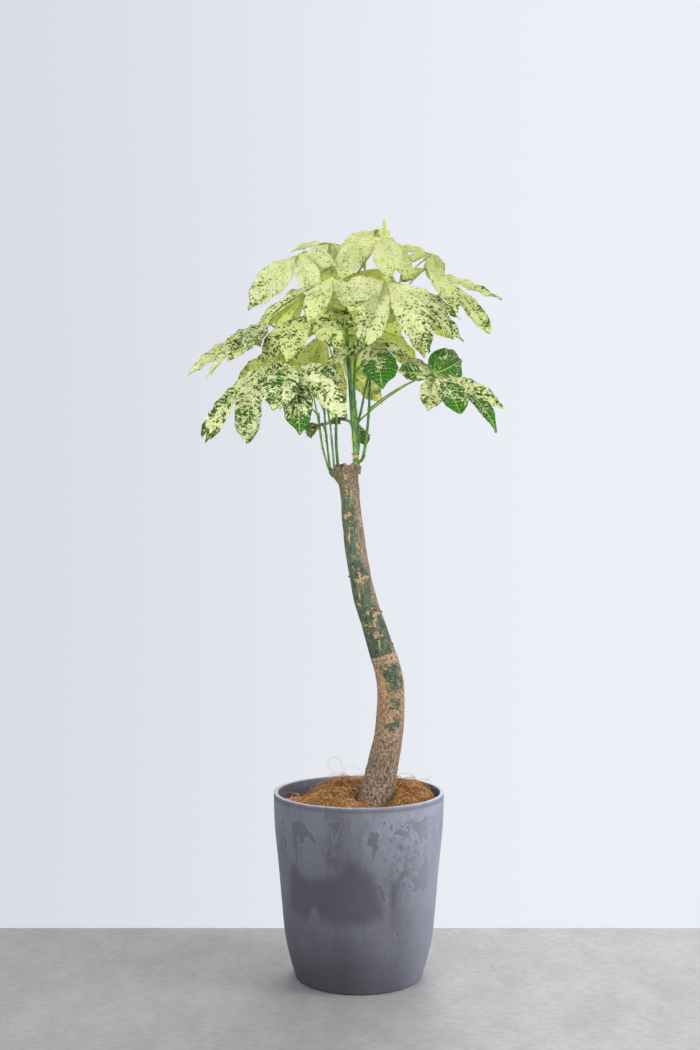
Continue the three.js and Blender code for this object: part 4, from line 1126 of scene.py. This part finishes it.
def blade_surface(hub, facing, tilt, turn, droop, length, half_width, roll, bend=None, cut=1.0, swell=1.0):
    """place(t, side, over, widen) of a leaflet, as the solid has it, and its width at t."""
    axis, forward, right = leaf_axes(facing, tilt)
    bearing = radians(turn)
    outward = forward * math.cos(bearing) + right * math.sin(bearing)
    across = np.cross(axis, outward)
    arc = radians(14 + length / 14 if bend is None else bend)
    start = radians(droop) - arc / 2
    fold = math.tan(radians(LEAFLET_FOLD))
    full_roll = radians(roll) * math.sin(radians(facing) + bearing)

    def width(t):
        foot, tip = FOOT_HALF_WIDTH, TIP_HALF_WIDTH
        return half_width * outline(t**swell * cut) + foot + (tip - foot) * t

    def place(t, side, over, widen=1.0):
        slope = start + arc * t
        out = LEAFLET_FOOT + length / arc * (np.sin(slope) - math.sin(start))
        down = length / arc * (math.cos(start) - np.cos(slope))
        half = width(t) * widen
        twist = full_roll * smoothstep(t, 0, 0.4)
        parts = np.broadcast_arrays(slope, twist, out, down, side * half, np.abs(side) * half * fold + over)
        slope, twist, out, down, aside, rise = np.stack(parts)[..., None]
        level = axis * np.cos(slope) + outward * np.sin(slope)
        normal = level * np.cos(twist) - across * np.sin(twist)
        sideways = across * np.cos(twist) + level * np.sin(twist)
        return np.array(hub, float) + outward * out - axis * down + sideways * aside + normal * rise

    return place, width


def bent_leaflet(hub, facing, tilt, roll, leaflet, corners):
    """The leaflet's surface and width with the bend that the solid has; None where the solid lacks it."""
    turn, droop, length, half_width, own = leaflet
    form = {"roll": roll, **{key: own[key] for key in ("roll", "bend", "cut", "swell") if key in own}}
    for more, lower in BENT_BY:
        bent = turn + more, droop + lower, length, half_width
        place, width = blade_surface(hub, facing, tilt, *bent, **form)
        tip = place(1.0, 0.0, CAD_HALF_THICKNESS)
        if np.linalg.norm(corners - tip, axis=1).min() < FOUND_WITHIN:
            return place, width
    return None


def blade(shape, place, width, leaflet, look, rng):
    """One leaflet as a thin waved slab with a raised rib below."""
    *_, length, _, own = leaflet
    green_base, green_tip = own.get("green", look[:2])
    grain, warmth, lightness_and_painted_light = look[2:]
    rows = max(14, int(length / 2.7)) + 1
    t = np.linspace(0, 1, rows)[:, None]
    side = ACROSS[None, :]
    away = np.abs(side)
    phase = rng.uniform(0, 2 * np.pi, 8)
    run = t * length
    hand = np.where(side < 0, 1, 0)
    # Edges: slightly uneven, drawn out to a short point, or torn off round.
    uneven = 0.035 * np.sin(run / 6.2 + phase[0] + 2.1 * hand)
    uneven = uneven + 0.02 * np.sin(run / 2.9 + phase[1] + 4 * hand)
    widen = 1 + uneven * smoothstep(t, 0.05, 0.2)
    reach = t + 0 * side
    if "cut" in own:
        ending = smoothstep(t, 0.55, 1)
        reach = t - ending * 0.13 * away**3
        if "notch" in own:
            gap = 0.10 * peaks(side, [-0.25], 0.16) + 0.05 * peaks(side, [0.5], 0.12)
            reach = reach - ending**4 * gap
    else:
        widen = widen * (1 - 0.5 * smoothstep(t, 0.80, 0.97) * (1 - smoothstep(t, 0.97, 1.0)))
    half = width(t) * widen
    x = side * half
    vein = run - 0.34 * np.abs(x) - 0.008 * x**2
    body = smoothstep(t, 0.06, 0.25)
    amplitude = rng.uniform(0.7, 2.0) * min(1.0, length / 110)
    wave = away**1.7 * amplitude * np.sin(2 * np.pi * run / rng.uniform(23, 38) + phase[2] + 2.4 * hand)
    wave += away**2 * 0.5 * np.sin(2 * np.pi * run / 11 + phase[3] + 1.3 * hand)
    quilt = 0.42 * 4 * away * (1 - away) * np.cos(2 * np.pi * vein / VEIN_SPACING)
    sway = 1.2 * t * np.sin(run / 19 + phase[4])
    over = body * (wave + quilt) + sway + 0.055 * half * np.sin(np.pi * away)
    rib = np.exp(-(x**2))
    top = over + HALF_THICKNESS - 0.22 * rib * (1 - 0.6 * t)
    bottom = over - HALF_THICKNESS - rib * (0.85 * (1 - t) + 0.12)
    corners = np.concatenate([place(reach, side, level, widen) for level in (top, bottom)]).reshape(-1, 3)
    layer = rows * len(ACROSS)
    number = np.arange(layer).reshape(rows, -1)
    rim = np.concatenate([number[:, 0], number[-1, 1:], number[-2::-1, -1], number[0, -2:0:-1]])
    after = np.roll(rim, -1)
    faces = grid_faces(rows, len(ACROSS))
    parts = [faces, faces[:, ::-1] + layer, columns(after, rim, rim + layer, after + layer)]
    a, b, c, d = (corners[faces[:, k]] for k in range(4))
    if (np.cross(c - a, d - b) * (a - corners[faces[:, 0] + layer])).sum() <= 0:
        parts = [part[:, ::-1] for part in parts]
    seed = rng.uniform(0, 60)
    green = green_base + (green_tip - green_base) * smoothstep(t, 0.15, 0.95)
    green = green + own.get("side", 0.0) * side * 0.3
    # Flecks are round specks on pale leaves and run along the side veins on green ones.
    coarse = smoothstep(grain, 0.5, 0.95)
    marks = columns(vein / (2.5 + 0.9 * coarse), x / (2.8 + 3.2 * coarse) + 40, seed)
    spots = columns(x, vein / VEIN_SPACING, t)
    tone = columns(green + 0 * x, warmth, lightness_and_painted_light * (1 + rng.uniform(-0.06, 0.03)))
    values = {"leaf_map": (marks, marks), "leaf_vein": (spots, spots), "leaf_tone": (tone, tone + UNDERSIDE)}
    shape.add(corners, parts, **{name: np.concatenate(two).reshape(-1, 3) for name, two in values.items()})


def branch_point(name, height):
    line = spline(BRANCHES[name][3], np.linspace(0, 1, 2000))
    return np.array([np.interp(height, line[:, 2], line[:, k]) for k in range(3)])


def hub_knob(hub, axis, size):
    """A small rounded knob where the leaflets meet."""
    polar = np.linspace(0.02, np.pi - 0.02, 9)[:, None, None]
    side = unit(np.cross(axis, SIDEWAYS + 0.01))
    rings = unit_rings(side, np.cross(axis, side), 14) * np.sin(polar) + HUB_FLATTENED * axis * np.cos(polar)
    pole = HUB_FLATTENED * size * axis
    corners, faces = closed(hub + size * rings, hub + pole, hub - pole)
    return corners, [part[:, ::-1] for part in faces]


def make_leaf(node, number, leaf):
    branch, height, hub, facing, tilt, roll, leaflets, look = leaf
    corners = np.array([v.co for v in NODES[node].data.vertices]) / MM
    rng = np.random.RandomState(900 + number)
    shape = Shape("leaf_map", "leaf_vein", "leaf_tone")
    for leaflet in leaflets:
        leaflet = (*leaflet, {})[:5]
        found = bent_leaflet(hub, facing, tilt, roll, leaflet, corners)
        if found:
            blade(shape, *found, leaflet, look, rng)
    start, end = branch_point(branch, height), np.array(hub, float)
    middle = (start + end) / 2 + UP * 0.12 * np.linalg.norm(end - start)
    t = np.linspace(0, 1, 40)
    radii = 1.45 + 0.9 * np.exp(-t * 22) + 0.9 * np.exp(-(1 - t) * 16) - 0.2 * t
    across = unit(np.array([start[1] - end[1], end[0] - start[0], 0.0]))
    t = t[:, None]
    stalk = tube(start * (1 - t) ** 2 + 2 * middle * t * (1 - t) + end * t**2, radii, 12, across)
    knob = hub_knob(end, leaf_axes(facing, tilt)[0], HUB_SIZE)
    for part, along in ((stalk, 0.2), (knob, 0.9)):
        shape.add(*part, kind=1, leaf_tone=(0.0, *look[3:]), leaf_vein=(0, 0, along))
    return shape.mesh(node + "_blades")


def leaf_material():
    g = new_material("leaf_blade")
    flecks = g.values("leaf_map")
    across, vein, along = g.split(g.values("leaf_vein"))
    tone, warmth, lightness_and_painted_light = g.split(g.values("leaf_tone"))
    under = g.step(lightness_and_painted_light, 4.0, 6.0)
    lightness_and_painted_light = lightness_and_painted_light - under * 10.0
    region = g.noise(g.scaled(flecks, 0.11, 0.17, 1), 1.0, 3, 0.7)
    shape = g.noise(flecks, 1.0, 3, 0.66, 0.4)
    small = g.noise(g.scaled(flecks, 2.1, 2.3, 1), 1.0, 2, 0.6, 0.2)
    grit = g.noise(g.scaled(flecks, 2.4, 3.6, 1), 1.0, 1, 0.5)
    # The share of green swings from place to place, most where there is much of it.
    share = tone + (region - 0.5) * g.step(tone, 0.1, 0.5, 0.6, 2.1)
    excess = shape + (small - 0.5) * 0.30 - (0.5 - (share - 0.54) * 0.36)
    green = g.step(excess, -0.003, 0.006)
    # Pale leaves have scattered dots, dark and round.
    dots = g.step(share, 0.0, 0.5, 0.16, 0.44) - g.cells(g.scaled(flecks, 0.5, 0.5, 1), 1.0)
    dot = g.step(dots, -0.02, 0.03) * g.step(tone, 0.62, 0.5)
    cream = g.layers(
        g.mix(warmth, (234, 231, 210), (197, 198, 119)),
        (region, 0.42, 0.68, 0, 0.5, (186, 192, 116)),
        (grit + share * 0.10, 0.50, 0.57, 0, 0.62, (158, 180, 96)),
        (dot * 0.95, (12, 62, 10)),
    )
    dark = g.layers(
        (8, 64, 8),
        (g.step(excess, 0.06, 0.20) * g.step(small, 0.36, 0.56), (64, 138, 42)),
        (grit, 0.42, 0.34, 0, 0.4, (8, 48, 6)),
        (1.0 - g.step(excess, 0.0, 0.012), (64, 122, 44)),
    )
    # Side veins run as thin paler lines, the rib as a stronger one.
    line = g.step(g.math("ABSOLUTE", g.math("FRACT", vein) - 0.5), 0.085, 0.0)
    rib = g.step(g.math("ABSOLUTE", across) - (0.3 + (1.0 - along) * 0.7), 0.35, -0.1)
    base = g.layers(
        cream,
        (green, dark),
        (line * g.step(green, 0, 1, 0.22, 0.62), (176, 200, 96)),
        (rib * 0.7, (204, 216, 120)),
        (g.step(along, 0.12, 0.0) * 0.6, (180, 194, 104)),
        (under * 0.28, (206, 216, 130)),
    )
    # The lightness scales the colour; on the back leaves it is raised as painted light shining through them.
    base = g.mix(1.0, base, g.join(lightness_and_painted_light, lightness_and_painted_light, lightness_and_painted_light), "MULTIPLY")
    normal = g.bump(line * -0.6 + small * 0.3 + green * 0.12, 0.0009, 0.9)
    through = g.layers(base, (green, 0, 1, 0.34, 0.08, (230, 233, 124)))
    glow = g.node("BsdfTranslucent", {"Color": through, "Normal": normal})
    return g.done(g.node("MixShader", {0: 0.48, 1: g.shader(base, 0.5, 0.18, normal), 2: glow}))


def stalk_material():
    g = new_material("leaf_stalk")
    warmth = g.split(g.values("leaf_tone"))[1]
    place = g.place()
    streaks = g.noise(place, 260, 3, 0.6)
    base = g.layers(
        (132, 154, 54),
        (streaks, 0.35, 0.65, (180, 190, 96)),
        (warmth * 0.3, (188, 192, 84)),
        # Painted shade: stalks are darker green low down, under the crown.
        (g.split(place)[2], 1.10, 1.0, 0, 0.75, (74, 120, 34)),
    )
    return g.done(g.shader(base, 0.45, 0.45, g.bump(streaks, 0.0004, 0.4)))


leaf_heights = {}
for leaf in LEAVES:
    leaf_heights.setdefault(leaf[0], []).append(leaf[1])
stem = stem_material()
for node in ("shoot_1", "shoot_2", "shoot_3", "shoot_4", "shoot_fork"):
    place_piece(node + "_stem", make_shoot(node, leaf_heights), [stem], "green_stem", node)
blade_and_stalk = [leaf_material(), stalk_material()]
for index, leaf in enumerate(LEAVES):
    node = f"leaf_{index + 1:02d}"
    place_piece(node + "_blades", make_leaf(node, index, leaf), blade_and_stalk, "leaf", node)


# ---------------------------------------------------------------- floor, light and backdrop


def floor_material():
    g = new_material("studio_floor")
    place = g.place()
    cloud = g.noise(g.scaled(place, 1, 0.6, 1), 9, 8, 0.74)
    grain = g.noise(g.scaled(place, 0.5, 1, 1), 120, 4, 0.7)
    base = g.layers(
        (149, 148, 147), (cloud, 0.36, 0.64, (160, 159, 158)), (grain, 0.42, 0.66, 0, 0.26, (116, 116, 117))
    )
    # Painted shade: the floor is darker towards the left, as if lit from the right.
    base = g.mix(g.step(g.split(place)[0], 0.25, -0.3), base, (232, 231, 230), "MULTIPLY")
    return g.done(g.shader(base, 0.75, 0.3))


floor_mesh = bpy.data.meshes.new("floor")
floor_mesh.from_pydata([(-8, -8, 0), (8, -8, 0), (8, 0.27, 0), (-8, 0.27, 0)], [], [(0, 1, 2, 3)])
floor_mesh.materials.append(floor_material())
floor = add_object("floor", floor_mesh)

LEFT_FILL, RIGHT_FILL, OVERHEAD_FILL = 0.4, 1.15, 1.35


def studio():
    """A pale wall behind the plant, a bright ceiling and right side, and a dimmer left one."""
    g = Graph(bpy.data.worlds.new("studio"))
    x, y, z = g.split(g.node("TexCoord", output="Generated"))
    strength = g.step(x, -0.7, 0.8, LEFT_FILL, RIGHT_FILL)
    wall = g.step(x, -0.30, 0.18, 0.90, 1.09)
    for share, level in ((g.step(z, 0.2, 0.7), OVERHEAD_FILL), (g.step(y, 0.74, 0.88), wall)):
        strength = g.node("Mix", {"Factor": share, "A": strength, "B": level})
    return g.done(g.node("Background", {"Color": colour(227, 230, 237), "Strength": strength}), "OutputWorld")


bpy.context.scene.world = studio()


def soft_light(name, place, target, size, power, tint, spread=180):
    data = bpy.data.lights.new(name, "AREA")
    data.shape = "DISK"
    data.size = size
    data.energy = power
    data.color = tint
    data.spread = radians(spread)
    light = add_object(name, data)
    light.location = place
    light.rotation_mode = "QUATERNION"
    light.rotation_quaternion = (Vector(target) - Vector(place)).to_track_quat("-Z", "Y")


soft_light("key", (2.5, -0.9, 1.8), (0, 0, 0.8), 1.5, 62, (1.0, 0.985, 0.95))
soft_light("back", (0.4, 2.4, 1.9), (0, 0, 1.1), 2.0, 54, (1.0, 1.0, 1.0))
soft_light("crown_left", (-1.7, -1.9, 1.25), (-0.05, 0, 1.12), 1.0, 4.3, (1.0, 1.0, 0.98), 32)
soft_light("crown_right", (1.2, -2.2, 1.1), (0.1, 0, 1.08), 1.0, 1.8, (1.0, 1.0, 0.98), 32)
soft_light("fill", (-1.6, -2.2, 1.9), (0, 0, 1.2), 1.8, 15, (1.0, 1.0, 1.0))
